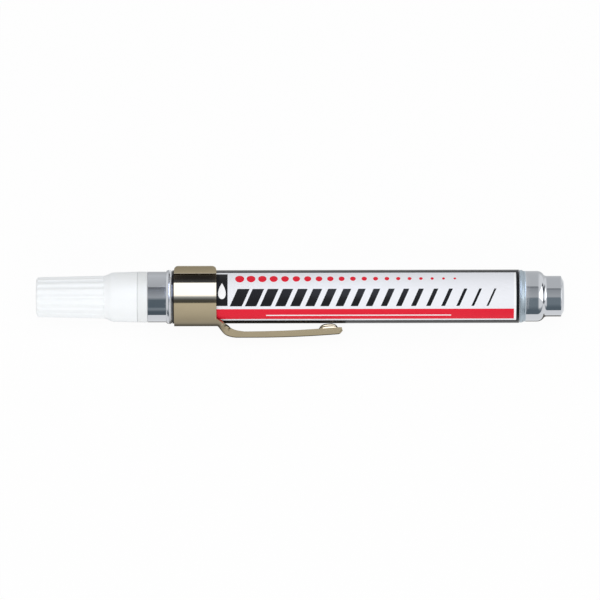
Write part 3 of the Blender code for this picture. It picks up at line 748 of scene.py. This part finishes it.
clip = {
    "sheet": 0.5,
    "middle": 7.55,           # radius of the sheet's middle in the band
    "bandFront": 7.05,
    "bandRear": 18.3,
    "lipAngle": 52.5,
    "lipLean": 13.85,
    "lipBend": 0.3,
    "lipLength": 1.93,
    "lipCorner": 1.15,
    "lipHold": 0.03,          # mesh lines this near to the lip's bend keep it crisp
    "armRoot": 0.05,          # straight stretch beside the band
    "rootFillet": 1.5,
    "rootBend": 0.75,
    "flexLength": 3.0,        # the arm's lift sets in over this length
    "foldLength": 4.4,        # the strip folds from the band's round into a channel over this length
    "riseAngle": 52.0,
    "heelBend": 2.6,          # the heel bends tightly to its ease angle and then slowly to level
    "heelEase": 8.0,
    "easeAngle": 20.0,
    "armDepth": 10.62,        # from the axis to the middle of the arm's sheet
    "straight": 4.2,
    "bowRadius": 290.0,
    "armLength": 33.36,       # from the band's rear edge to the tip
    "toeAngle": 50.0,
    "toeBend": 1.0,
    "toeLength": 0.7,
    "armWidth": 4.4,
    "corner": 0.5,
    "flange": 1.4,
    "rootFlange": 1.25,       # how much deeper the flanges are at the root
    "flangeTaper": 8.5,       # length over which that runs out
    "tipFlange": 0.22,        # how much deeper they are at the tip
    "tipTaper": 25.0,
    "dimpleSetback": 3.66,    # from the tip to the dimple's middle
    "dimpleLength": 6.1,
    "dimpleWidth": 2.8,
    "dimpleWall": 0.45,
    "bulgeAlong": 3.0,        # powers of the dimple's rounding: 2 is an ellipse, and a higher one is squarer
    "bulgeAcross": 12.0,
    "sleeveGap": 0.1,         # clears the film's overlap too
    "bandColumns": 44,
    "bandRows": 20,
    "bowRows": 90,
    "rowGap": 0.03,           # rows of the bow are at least this far apart
    "edge": 0.09,
    "sharpAngle": 50.0,
    "weld": 0.003,            # points nearer than this are one
    "colour": "#A89C82",
    "shade": "#A0947B",
    "rollingLines": (8.33, 0.154),       # how long and how far apart
    "clouds": 3.03,           # clouding of the plating, across
}


# Spring steel strip with a champagne nickel plating: bright and warm grey,
# with faint rolling lines along the strip
def platedSteel(sizes):
    material, add = startMaterial("platedSpringSteel")
    sheet = add("UVMap", {"uv_map": "sheetMm"})
    length, apart = sizes["rollingLines"]
    stretched = add("Mapping", {"Vector": sheet, "Scale": (1 / length, 1 / apart, 1.0)})
    lines = add("TexNoise", {"Vector": stretched, "Scale": 1.0, "Detail": 4.0})
    clouds = add("TexNoise", {"Vector": sheet, "Scale": 1 / sizes["clouds"], "Detail": 4.0})
    gloss = add("MapRange", {"Value": clouds, "To Min": 0.04, "To Max": 0.08})
    tint = add("Mix", {"data_type": "RGBA", 0: clouds, 6: linear(sizes["colour"]), 7: linear(sizes["shade"])})
    bump = add("Bump", {"Height": lines, "Strength": 0.03, "Distance": 0.02 * mm})
    shader = add("BsdfPrincipled", {"Base Color": tint, "Metallic": 1.0, "Roughness": gloss, "Normal": bump})
    add("OutputMaterial", {"Surface": shader})
    return material


# Height of a rounded bulge at a share of its half width, and the shares where its mesh lines lie
def bulge(share, power):
    return (1.0 - min(1.0, share) ** power) ** (1.0 / power)


def bulgeLines(power, steps):
    return [math.cos(math.pi / 2 * k / steps) ** (2.0 / power) for k in range(steps)]


# Half width of the flat strip at a length along the arm: widest where it leaves the band
def stripHalf(sizes, run):
    channel = (sizes["armWidth"] - sizes["sheet"]) / 2 + sizes["flange"] + (math.pi / 2 - 2) * sizes["corner"]
    half = channel + sizes["rootFlange"] * max(0.0, 1.0 - run / sizes["flangeTaper"])
    half += sizes["tipFlange"] * max(0.0, 1.0 - (sizes["armLength"] - run) / sizes["tipTaper"])
    fillet = sizes["rootFillet"]
    if run < fillet:
        half += fillet - math.sqrt(fillet ** 2 - (fillet - run) ** 2)
    return half


# Where the mesh lines run along the arm, from the strip's middle over dimple and corner to the flange's edge
def stripColumns(sizes, half):
    web = (sizes["armWidth"] - sizes["sheet"]) / 2 - sizes["corner"]
    cornerRun = sizes["corner"] * math.pi / 2
    dimple = sizes["dimpleWidth"] / 2
    columns = [0.0] + [side * share for side in (dimple - sizes["dimpleWall"], dimple)
                       for share in reversed(bulgeLines(sizes["bulgeAcross"], steps=4))]
    columns += [web + cornerRun * k / 6 for k in range(7)]
    return columns + [columns[-1] + (half - columns[-1]) * k / 5 for k in range(1, 6)]


# Half of the band's section from the clip side to a lip: (run along the sheet, sideways, up)
def bandSection(sizes, rootRuns):
    middle = sizes["middle"]
    lip = math.radians(sizes["lipAngle"])
    lean = math.radians(sizes["lipLean"])
    bend = sizes["lipBend"]
    count = sizes["bandColumns"]
    rest = middle * (math.pi / 2 + lip) - rootRuns[-1]
    runs = rootRuns + [rootRuns[-1] + rest * k / count for k in range(1, count + 1)]
    runs.insert(-1, runs[-1] - sizes["lipHold"])
    section = [(run, middle * math.sin(run / middle), -middle * math.cos(run / middle)) for run in runs]
    centre = (middle + bend) * Vector((math.cos(lip), math.sin(lip)))
    start = section[-1][0]
    for k in range(1, 9):
        turn = (lip + lean) * k / 8
        place = centre + bend * Vector((math.cos(lip - turn + math.pi), math.sin(lip - turn + math.pi)))
        section.append((start + bend * turn, place.x, place.y))
    run, side, up = section[-1]
    steps = [sizes["lipLength"] * math.sin(math.pi / 2 * k / 10) for k in range(1, 11)]
    for step in [sizes["lipHold"]] + steps:
        section.append((run + step, side + step * math.sin(lean), up + step * math.cos(lean)))
    return section


# The arm's middle line: (x, depth below the axis, downward heading, length so far)
def armPath(sizes):
    rise = math.radians(sizes["riseAngle"])
    ease = math.radians(sizes["easeAngle"])
    toe = math.radians(sizes["toeAngle"])
    root = sizes["bandRear"] + sizes["armRoot"]
    line = [(root - sizes["armRoot"] * math.cos(math.pi / 2 * k / 6), sizes["middle"], 0.0) for k in range(7)]

    # an arc from the line's end to a new heading, and a straight run on from there
    def bend(radius, heading, steps):
        x, depth, first = line[-1]
        radius = math.copysign(radius, heading - first)
        for k in range(1, steps + 1):
            turn = first + (heading - first) * k / steps
            line.append((x + radius * (math.sin(turn) - math.sin(first)),
                         depth + radius * (math.cos(first) - math.cos(turn)), turn))

    def straight(length, steps):
        x, depth, turn = line[-1]
        for k in range(1, steps + 1):
            step = length * k / steps
            line.append((x + step * math.cos(turn), depth + step * math.sin(turn), turn))

    bend(sizes["rootBend"], rise, steps=10)
    heel = [(sizes["heelBend"], rise, ease), (sizes["heelEase"], ease, 0.0)]
    heelDepth = sum(radius * (math.cos(last) - math.cos(first)) for radius, first, last in heel)
    straight((sizes["armDepth"] - heelDepth - line[-1][1]) / math.sin(rise), steps=6)
    for radius, first, last in heel:
        bend(radius, last, steps=12)
    straight(sizes["straight"], steps=12)
    # the bow towards the barrel, with extra rows at the dimple's ends
    bowStart = line[-1][0]
    bowRun = toeX(sizes) - bowStart
    stations = [bowStart + bowRun * k / sizes["bowRows"] for k in range(1, sizes["bowRows"] + 1)]
    for half in (sizes["dimpleLength"] / 2, sizes["dimpleLength"] / 2 - sizes["dimpleWall"]):
        for share in bulgeLines(sizes["bulgeAlong"], steps=8):
            stations += [dimpleX(sizes) - half * share, dimpleX(sizes) + half * share]
    for x in sorted(stations):
        turn = math.asin((x - bowStart) / sizes["bowRadius"])
        if x - line[-1][0] > sizes["rowGap"] and x <= toeX(sizes):
            line.append((x, sizes["armDepth"] - sizes["bowRadius"] * (1 - math.cos(turn)), -turn))
    x, depth, turn = line[-1]
    for k in range(1, 11):
        curl = toe * k / 10
        line.append((x + sizes["toeBend"] * math.sin(curl), depth - sizes["toeBend"] * (1 - math.cos(curl)),
                     -max(curl, -turn)))
    straight(sizes["toeLength"], steps=3)
    path, run = [], 0.0
    for k, (x, depth, turn) in enumerate(line):
        if k:
            run += math.hypot(x - line[k - 1][0], depth - line[k - 1][1])
        path.append((x, depth, turn, run))
    return path


def toeX(sizes):
    toe = math.radians(sizes["toeAngle"])
    tip = sizes["bandRear"] + sizes["armLength"]
    return tip - sizes["toeBend"] * math.sin(toe) - sizes["toeLength"] * math.cos(toe)


def dimpleX(sizes):
    return sizes["bandRear"] + sizes["armLength"] - sizes["dimpleSetback"]


# Half of the arm's section: (sideways, height towards the barrel) at each column.
# At share 0 it is round like the band, and at 1 it is a channel.
def armSection(sizes, columns, share):
    web = (sizes["armWidth"] - sizes["sheet"]) / 2 - sizes["corner"]
    points = []
    side = height = before = 0.0
    for run in columns:
        halfway = (run + before) / 2
        folded = min(max(0.0, (halfway - web) / sizes["corner"]), math.pi / 2)
        turn = (1.0 - share) * halfway / sizes["middle"] + share * folded
        side += (run - before) * math.cos(turn)
        height += (run - before) * math.sin(turn)
        points.append((side, height))
        before = run
    return points


def makeClip(sizes):
    bandLength = sizes["bandRear"] - sizes["bandFront"]
    rootColumns = stripColumns(sizes, stripHalf(sizes, 0.0))
    section = bandSection(sizes, rootColumns)
    reach = section[-1][0]
    path = armPath(sizes)
    toeDepth, toeTurn = next((depth, turn) for x, depth, turn, run in path if x >= toeX(sizes) - 0.01)
    dimpleDepth = min(path, key=lambda step: abs(step[0] - dimpleX(sizes)))[1]
    dimpleHeight = dimpleDepth - label["radius"] - sizes["sleeveGap"] - sizes["sheet"] / 2

    # rows of places on the sheet's middle, each with its place on the flat strip
    def bandRow(j):
        row = []
        for i in range(1 - len(section), len(section)):
            run, side, up = section[abs(i)]
            past = max(0.0, run - reach + sizes["lipCorner"])
            inset = sizes["lipCorner"] - math.sqrt(max(0.0, sizes["lipCorner"] ** 2 - past ** 2))
            x = sizes["bandFront"] + inset + (bandLength - 2 * inset) * j / sizes["bandRows"]
            row.append((Vector((x, math.copysign(side, i), up)), (math.copysign(run, i), x)))
        return row

    def armRow(x, depth, turn, run):
        columns = stripColumns(sizes, stripHalf(sizes, run))
        share = min(1.0, max(0.0, (run - sizes["armRoot"]) / sizes["foldLength"]))
        points = armSection(sizes, columns, share * share * (3 - 2 * share))
        # the flanges' edges run straight on while the toe's web turns up to meet them
        left = max(0.1, 1.0 - max(0.0, toeDepth - depth) / points[-1][1]) if x > toeX(sizes) else 1.0
        lean = max(turn, toeTurn)
        row = []
        for k in range(1 - len(columns), len(columns)):
            side, height = points[abs(k)]
            up = height * left * math.cos(lean) - depth
            # beside the band the flanges splay over the sleeve until they are clear of it
            side = max(side, math.sqrt(max(0.0, sizes["middle"] ** 2 - up ** 2)))
            place = Vector((x + height * left * math.sin(lean), math.copysign(side, k), up))
            row.append((place, (sizes["bandRear"] + run, math.copysign(columns[abs(k)], k))))
        return row

    # the dimple's rise on the barrel's side, and that of the hollow under it
    def dimpleRise(place, side):
        wall = 0.0 if side > 0 else sizes["dimpleWall"]
        endways = abs(place.x - dimpleX(sizes)) / (sizes["dimpleLength"] / 2 - wall)
        across = abs(place.y) / (sizes["dimpleWidth"] / 2 - wall)
        return dimpleHeight * bulge(endways, sizes["bulgeAlong"]) * bulge(across, sizes["bulgeAcross"])

    form = bmesh.new()
    uvLayer = form.loops.layers.uv.new("sheetMm")
    weight = form.edges.layers.float.new("bevel_weight_edge")
    flat = {}

    # two skins of points, half a sheet to each side of the middle; side 1 faces the barrel
    def skins(grid, dimpled):
        skin = {1: [], -1: []}
        for r, row in enumerate(grid):
            for side in skin:
                skin[side].append([])
            for c, (place, flatPlace) in enumerate(row):
                ahead = grid[min(r + 1, len(grid) - 1)][c][0] - grid[max(r - 1, 0)][c][0]
                across = row[min(c + 1, len(row) - 1)][0] - row[max(c - 1, 0)][0]
                normal = across.cross(ahead).normalized()
                for side in skin:
                    point = place + normal * side * sizes["sheet"] / 2
                    if dimpled:
                        point.z += dimpleRise(place, side)
                    vert = form.verts.new(point * mm)
                    flat[vert] = flatPlace
                    skin[side][r].append(vert)
        return skin

    def quads(skin, openEdges):
        for side in skin.values():
            for near, far in zip(side, side[1:]):
                for c in range(len(near) - 1):
                    form.faces.new((near[c], far[c], far[c + 1], near[c + 1]))
        for a, b in openEdges:
            inner = [skin[1][r][c] for r, c in (a, b)]
            outer = [skin[-1][r][c] for r, c in (a, b)]
            form.faces.new(inner + outer[::-1])
            form.edges.get(inner)[weight] = 1.0
            form.edges.get(outer)[weight] = 1.0

    band = skins([bandRow(j) for j in range(sizes["bandRows"] + 1)], False)
    rear = sizes["bandRows"]
    ends = 2 * len(section) - 2
    rootSides = (len(section) - len(rootColumns), len(section) + len(rootColumns) - 2)
    edges = [((0, c), (0, c + 1)) for c in range(ends)]
    edges += [((rear, c), (rear, c + 1)) for c in range(ends) if not rootSides[0] <= c < rootSides[1]]
    edges += [((r, c), (r + 1, c)) for r in range(rear) for c in (0, ends)]
    quads(band, edges)

    arm = skins([armRow(*step) for step in path], True)
    tip = len(path) - 1
    sides = 2 * len(rootColumns) - 2
    edges = [((r, c), (r + 1, c)) for r in range(tip) for c in (0, sides)]
    edges += [((tip, c), (tip, c + 1)) for c in range(sides)]
    quads(arm, edges)

    for face in form.faces:
        for loop in face.loops:
            loop[uvLayer].uv = flat[loop.vert]
    bmesh.ops.remove_doubles(form, verts=form.verts, dist=sizes["weld"] * mm)
    mesh = finishMesh("pocketClip", form, sizes["sharpAngle"])
    mesh.materials.append(platedSteel(sizes))
    piece = bpy.data.objects.new("pocketClip", mesh)
    bpy.context.scene.collection.objects.link(piece)
    piece.matrix_world = penPlace
    bevel = piece.modifiers.new("deburred", "BEVEL")
    bevel.limit_method = "WEIGHT"
    bevel.width = sizes["edge"] * mm
    bevel.segments = 2
    bpy.context.view_layer.update()
    piece.data = bpy.data.meshes.new_from_object(piece.evaluated_get(bpy.context.evaluated_depsgraph_get()))
    piece.modifiers.clear()
    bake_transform(piece)
    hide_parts("clip_band", "clip_arm")
    print("piece: pocketClip", len(piece.data.vertices), "points, bends from clip to clip_arm")


makeClip(clip)


# Valve, hidden in the pen

spring = {
    "front": 5.5,
    "rear": 11.5,
    "radius": 1.6,
    "wire": 0.4,
    "turns": 6,
    "stepsInTurn": 36,
    "press": 2.0,
    "colour": "#B9BBBD",
    "drawnLines": 0.25,       # how far apart
}


# Stainless wire, drawn and coiled: bright, with fine lines along the wire
def drawnWire(sizes):
    material, add = startMaterial("drawnStainlessWire")
    place = add("TexCoord", {}).outputs["Object"]
    lines = add("TexNoise", {"Vector": place, "Scale": repeatEach(sizes["drawnLines"]), "Detail": 3.0})
    gloss = add("MapRange", {"Value": lines, "To Min": 0.15, "To Max": 0.3})
    shader = add("BsdfPrincipled", {"Base Color": linear(sizes["colour"]), "Metallic": 1.0,
                                    "Roughness": gloss})
    add("OutputMaterial", {"Surface": shader})
    return material


def makeSpring(sizes):
    count = sizes["turns"] * sizes["stepsInTurn"]
    run = sizes["rear"] - sizes["front"] - sizes["wire"]
    radius = sizes["radius"] * mm
    curve = bpy.data.curves.new("valveSpring", "CURVE")
    curve.dimensions = "3D"
    curve.bevel_depth = sizes["wire"] / 2 * mm
    curve.bevel_resolution = 3
    curve.use_fill_caps = True
    line = curve.splines.new("POLY")
    line.points.add(count)
    for k, point in enumerate(line.points):
        turn = 2 * math.pi * k / sizes["stepsInTurn"]
        x = sizes["front"] + sizes["wire"] / 2 + run * k / count
        point.co = (x * mm, radius * math.cos(turn), radius * math.sin(turn), 1.0)
    coil = bpy.data.objects.new("coilLine", curve)
    bpy.context.scene.collection.objects.link(coil)
    bpy.context.view_layer.update()
    mesh = bpy.data.meshes.new_from_object(coil.evaluated_get(bpy.context.evaluated_depsgraph_get()))
    mesh.name = "valveSpring"
    mesh.materials.clear()
    bpy.data.objects.remove(coil)
    mesh.shade_smooth()
    piece = addPiece(mesh, drawnWire(sizes), "barrel", "spring_steel", "valve_spring")
    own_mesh(piece)


makeSpring(spring)


valve = {
    "mouldedAcetal": {
        "nodes": ("valve_body", "valve_stem", "spring_retainer", "nib_socket"),
        "marks": 2.0,         # flow marks, across
        "markDetail": 3.0,
        "colour": "#E7E6E1",
        "shade": "#DAD8D1",
        "roughness": (0.34, 0.46),
        "ior": 1.48,
    },
    "mouldedNitrileRubber": {
        "nodes": ("mouth_seal", "valve_seal"),
        "marks": 1.11,        # bloom, across
        "markDetail": 4.0,
        "colour": "#1F1F20",
        "shade": "#2B2B2C",
        "roughness": (0.55, 0.75),
        "ior": 1.52,
    },
}


# Acetal, injection moulded, is smooth and slightly waxy.
# Nitrile rubber, compression moulded, is near black and dull.
def mouldedValvePart(name, looks):
    material, add = startMaterial(name)
    place = add("TexCoord", {}).outputs["Object"]
    marks = add("TexNoise", {"Vector": place, "Scale": repeatEach(looks["marks"]),
                             "Detail": looks["markDetail"]})
    tint = add("Mix", {"data_type": "RGBA", 0: marks, 6: linear(looks["colour"]), 7: linear(looks["shade"])})
    low, high = looks["roughness"]
    gloss = add("MapRange", {"Value": marks, "To Min": low, "To Max": high})
    shader = add("BsdfPrincipled", {"Base Color": tint, "IOR": looks["ior"], "Roughness": gloss})
    add("OutputMaterial", {"Surface": shader})
    return material


for name, looks in valve.items():
    material = mouldedValvePart(name, looks)
    for node in looks["nodes"]:
        frame["nodes"][node].data.materials.clear()
        frame["nodes"][node].data.materials.append(material)
    print("finish:", name, "on", ", ".join(looks["nodes"]), "which keep their CAD shape")


# Studio

studio = {
    "floorSize": 3.0,
    "floorColour": "#F4F4F4",
    "floorGlow": 0.95,        # share of plain white that the camera sees in the floor
    "worldLevel": 0.5,
    "softbox": {"rise": 85.0, "away": 700.0, "length": 700.0, "width": 900.0, "radiance": 1.15},
    "fill": {"rise": 21.5, "away": 700.0, "length": 700.0, "width": 480.0, "radiance": 1.55},
    # these cards glow by themselves: painted reflections of the studio, bright and dark
    # cards that only reflections see. Reach is places along the pen, each with the share of the card's grey
    # that it has there, where 0 is the room's white. Greys are angles over the pen, each with its grey and,
    # where it isn't 1, that one's strength.
    "cards": {
        "neck": {"reach": [(-45.0, 0.0), (-8.0, 1.0), (5.9, 1.0)], "greys": [
            (205.0, "#BFC0C1"),
            (165.0, "#E0E1E2"),
            (100.0, "#C9CACB"),
            (97.0, "#6F7175"),
            (86.0, "#92959A"),
            (52.0, "#B9BCBF"),
            (40.0, "#6A757C"),
            (8.0, "#66727A"),
            (-2.0, "#98A0A5"),
            (-12.0, "#5C676E"),
            (-23.0, "#5C676E"),
        ]},
        "clip": {"reach": [(5.9, 1.0), (19.0, 1.0)], "greys": [
            (174.0, "#383733"),
            (128.0, "#3F404A"),
            (111.6, "#6A7388"),
            (109.0, "#D8E2FF", 4.8),
            (61.0, "#D8E2FF", 4.8),
            (54.0, "#CFDFFF", 1.3),
            (46.0, "#838EA5"),
            (41.0, "#6D7177"),
            (32.0, "#6D7177"),
        ]},
        # painted highlight: a card five times brighter than white, which the clip's dimple mirrors as
        # blown-out white
        "dimple": {"reach": [(36.0, 1.0), (74.0, 1.0)], "greys": [
            (118.0, "#E4EAFF", 5.0),
            (53.0, "#E4EAFF", 5.0),
        ]},
        "tail": {"reach": [(100.2, 1.0), (112.0, 1.0), (165.0, 0.0)], "greys": [
            (205.0, "#D6D7D8"),
            (100.0, "#D6D7D8"),
            (97.0, "#86898D"),
            (87.0, "#ABAEB1"),
            (52.0, "#C2C4C6"),
            (44.0, "#828D94"),
            (10.0, "#828D94"),
            (-10.0, "#66727A"),
            (-23.0, "#66727A"),
        ]},
        # what shows of the pen's own shade on the floor
        "neckShade": {"reach": [(-30.0, 1.0), (5.9, 1.0)], "greys": [
            (-55.0, "#6E6C66"),
            (-125.0, "#6E6C66"),
        ]},
        # painted reflection of the floor in front of the clip, white up to brighter than white, running into
        # its painted shadow
        "clipFloorGlowAndShade": {"reach": [(5.9, 1.0), (19.0, 1.0)], "greys": [
            (31.8, "#A4A4A4"),
            (30.4, "#D4D4D4"),
            (28.8, "#FFFFFF", 1.16),
            (0.0, "#FFFFFF", 1.06),
            (-8.0, "#FFFFFF"),
            (-15.0, "#F7F7F7"),
            (-25.0, "#E8E8E8"),
            (-35.0, "#DCDCDC"),
            (-42.0, "#B0B0B0"),
            (-46.0, "#6E6C66"),
            (-125.0, "#6E6C66"),
        ]},
        "armShade": {"reach": [(19.0, 1.0), (52.5, 1.0)], "greys": [
            (-30.0, "#6E6C66"),
            (-75.0, "#6E6C66"),
        ]},
        "tailShade": {"reach": [(100.2, 1.0), (110.5, 1.0)], "greys": [
            (-55.0, "#6E6C66"),
            (-125.0, "#6E6C66"),
        ]},
    },
    "cardsAway": 150.0,
    "cardStep": 4.0,          # degrees between a card's rows
    # a fin at the end of the clip's card, white towards the heel, keeps the card out of its reflections
    "fin": {"card": "clip", "x": 19.0, "gap": 0.1, "near": 9.0, "cardNear": 60.0, "turns": (-20.0, 174.0)},
    # a dark shelf from the clip's card towards the pen, which keeps the white out of the lip's mirror image
    # in the band; its near and far edges are angles over the pen and distances
    "shelf": {"reach": (6.9, 18.5), "near": (103.3, 24.7), "far": (111.0, 150.0), "grey": "#494949"},
    # upright cards past the tail, for the shoulder: the light one paints its highlight and the dark one the
    # dark line between
    "sideCards": {
        "sideLight": {"x": 135.0, "across": (-84.0, -9.0), "up": (-10.0, 22.0), "grey": ("#FFFFFF", 2.2)},
        "sideDark": {"x": 135.0, "across": (-9.0, 3.8), "up": (-12.0, 24.0), "grey": ("#64666A", 1.0)},
    },
}
studioMiddle = penPoint(photoView["aimX"], 0.0, 0.0)


# A place at an angle over the pen: 0 is the front horizon, 90 straight up, 180 the back.
# It stops just over the floor.
def over(degrees, away, x=0.0):
    angle = math.radians(degrees)
    if math.sin(angle) < 0.0:
        away = min(away, studioMiddle.z / mm / -math.sin(angle) - 0.2)
    x *= 1.0 + away / photoView["distance"]
    return studioMiddle + Vector((x, -math.cos(angle) * away, math.sin(angle) * away)) * mm


# Lamps light the surfaces; what mirrors show of them is left to the cards
def areaLamp(name, sizes):
    lamp = bpy.data.lights.new(name, "AREA")
    lamp.shape = "RECTANGLE"
    lamp.size = sizes["length"] * mm
    lamp.size_y = sizes["width"] * mm
    lamp.energy = sizes["radiance"] * lamp.size * lamp.size_y * math.pi
    lampObject = bpy.data.objects.new(name, lamp)
    bpy.context.scene.collection.objects.link(lampObject)
    lampObject.location = over(sizes["rise"], sizes["away"])
    lampObject.rotation_euler = (math.radians(90.0 - sizes["rise"]), 0.0, 0.0)
    lampObject.visible_glossy = False


# 1 for what the camera sees, straight or in a mirror or glass, and 0 for light that falls on things
def seenShare(add):
    rays = add("LightPath", {}).outputs
    seen = add("Math", {"operation": "ADD", 0: rays["Is Camera Ray"], 1: rays["Is Glossy Ray"]})
    return add("Math", {"operation": "ADD", "use_clamp": True, 0: seen, 1: rays["Is Transmission Ray"]})


def makeFloor(sizes):
    form = bmesh.new()
    bmesh.ops.create_grid(form, x_segments=1, y_segments=1, size=sizes["floorSize"])
    floor = bpy.data.objects.new("studioFloor", finishMesh("studioFloor", form))
    bpy.context.scene.collection.objects.link(floor)
    material, add = startMaterial("whitePaper")
    share = add("Math", {"operation": "MULTIPLY", 0: seenShare(add), 1: sizes["floorGlow"]})
    paper = add("BsdfDiffuse", {"Color": linear(sizes["floorColour"])})
    glow = add("Emission", {"Color": linear("#FFFFFF"), "Strength": 1.0})
    mixed = add("MixShader", {0: share, 1: paper, 2: glow})
    add("OutputMaterial", {"Surface": mixed})
    floor.data.materials.append(material)


def makeLight(sizes):
    world = bpy.data.worlds.new("studioWorld")
    bpy.context.scene.world = world
    world.use_nodes = True
    world.node_tree.nodes.clear()
    add = partial(addNode, world.node_tree)
    level = add("MapRange", {"Value": seenShare(add), "To Min": sizes["worldLevel"], "To Max": 1.0})
    room = add("Background", {"Color": linear("#FFFFFF"), "Strength": level})
    add("OutputWorld", {"Surface": room})
    areaLamp("overheadSoftbox", sizes["softbox"])
    areaLamp("frontFill", sizes["fill"])


# A card is a strip through rows of points, each point with its own glow
def addCard(name, rows, material):
    form = bmesh.new()
    glowLayer = form.verts.layers.float_color.new("glow")
    before = []
    for row in rows:
        verts = []
        for point, glow in row:
            verts.append(form.verts.new(point))
            verts[-1][glowLayer] = glow
        for k in range(len(before) - 1):
            form.faces.new((before[k], before[k + 1], verts[k + 1], verts[k]))
        before = verts
    card = bpy.data.objects.new(name, finishMesh(name, form))
    card.data.materials.append(material)
    bpy.context.scene.collection.objects.link(card)
    for kind in ("camera", "diffuse", "transmission", "shadow", "volume_scatter"):
        setattr(card, "visible_" + kind, False)


def cardGlow(grey, strength=1.0):
    return Vector(linear(grey)) * strength


def makeCards(sizes):
    material, add = startMaterial("paintedReflectionCard")
    glow = add("Attribute", {"attribute_name": "glow"})
    # painted reflection: each card glows with its own grey, and only glossy rays see it
    paper = add("Emission", {"Color": glow, "Strength": 1.0})
    add("OutputMaterial", {"Surface": paper})
    material.cycles.emission_sampling = "NONE"

    away = sizes["cardsAway"]
    middle = photoView["aimX"]
    white = cardGlow("#FFFFFF")
    fin = sizes["fin"]
    finX = fin["x"] - middle
    finRows = []
    for name, card in sizes["cards"].items():
        stops = [(turn, cardGlow(*grey)) for turn, *grey in card["greys"]]
        rows = []
        for (first, firstGlow), (last, lastGlow) in zip(stops, stops[1:]):
            steps = max(1, round(abs(last - first) / sizes["cardStep"]))
            for k in range(steps + 1):
                turn = first + (last - first) * k / steps
                glow = firstGlow.lerp(lastGlow, k / steps)
                rows.append([(over(turn, away, x - middle), white.lerp(glow, share))
                             for x, share in card["reach"]])
                if name == fin["card"]:
                    finRows.append([(over(turn, reach, finX - fin["gap"]), glow)
                                    for reach in (fin["cardNear"], away)])
        addCard(name + "Card", rows, material)
    addCard("clipFin", finRows, material)

    first, last = fin["turns"]
    turns = [first + (last - first) * k / 40 for k in range(41)]
    rows = [[(over(turn, reach, finX), white) for reach in (fin["near"], away)] for turn in turns]
    addCard("heelFin", rows, material)
    shelf = sizes["shelf"]
    glow = cardGlow(shelf["grey"])
    edges = (shelf["near"], shelf["far"])
    rows = [[(over(*edge, x - middle), glow) for x in shelf["reach"]] for edge in edges]
    addCard("lipShelf", rows, material)
    for name, card in sizes["sideCards"].items():
        glow = cardGlow(*card["grey"])
        rows = [[(penPoint(card["x"], y, z), glow) for z in card["up"]] for y in card["across"]]
        addCard(name, rows, material)


makeFloor(studio)
makeLight(studio)
makeCards(studio)
bpy.context.scene.view_settings.view_transform = "Standard"
print("studio: floor, softbox, fill and cards for", ", ".join(studio["cards"]))
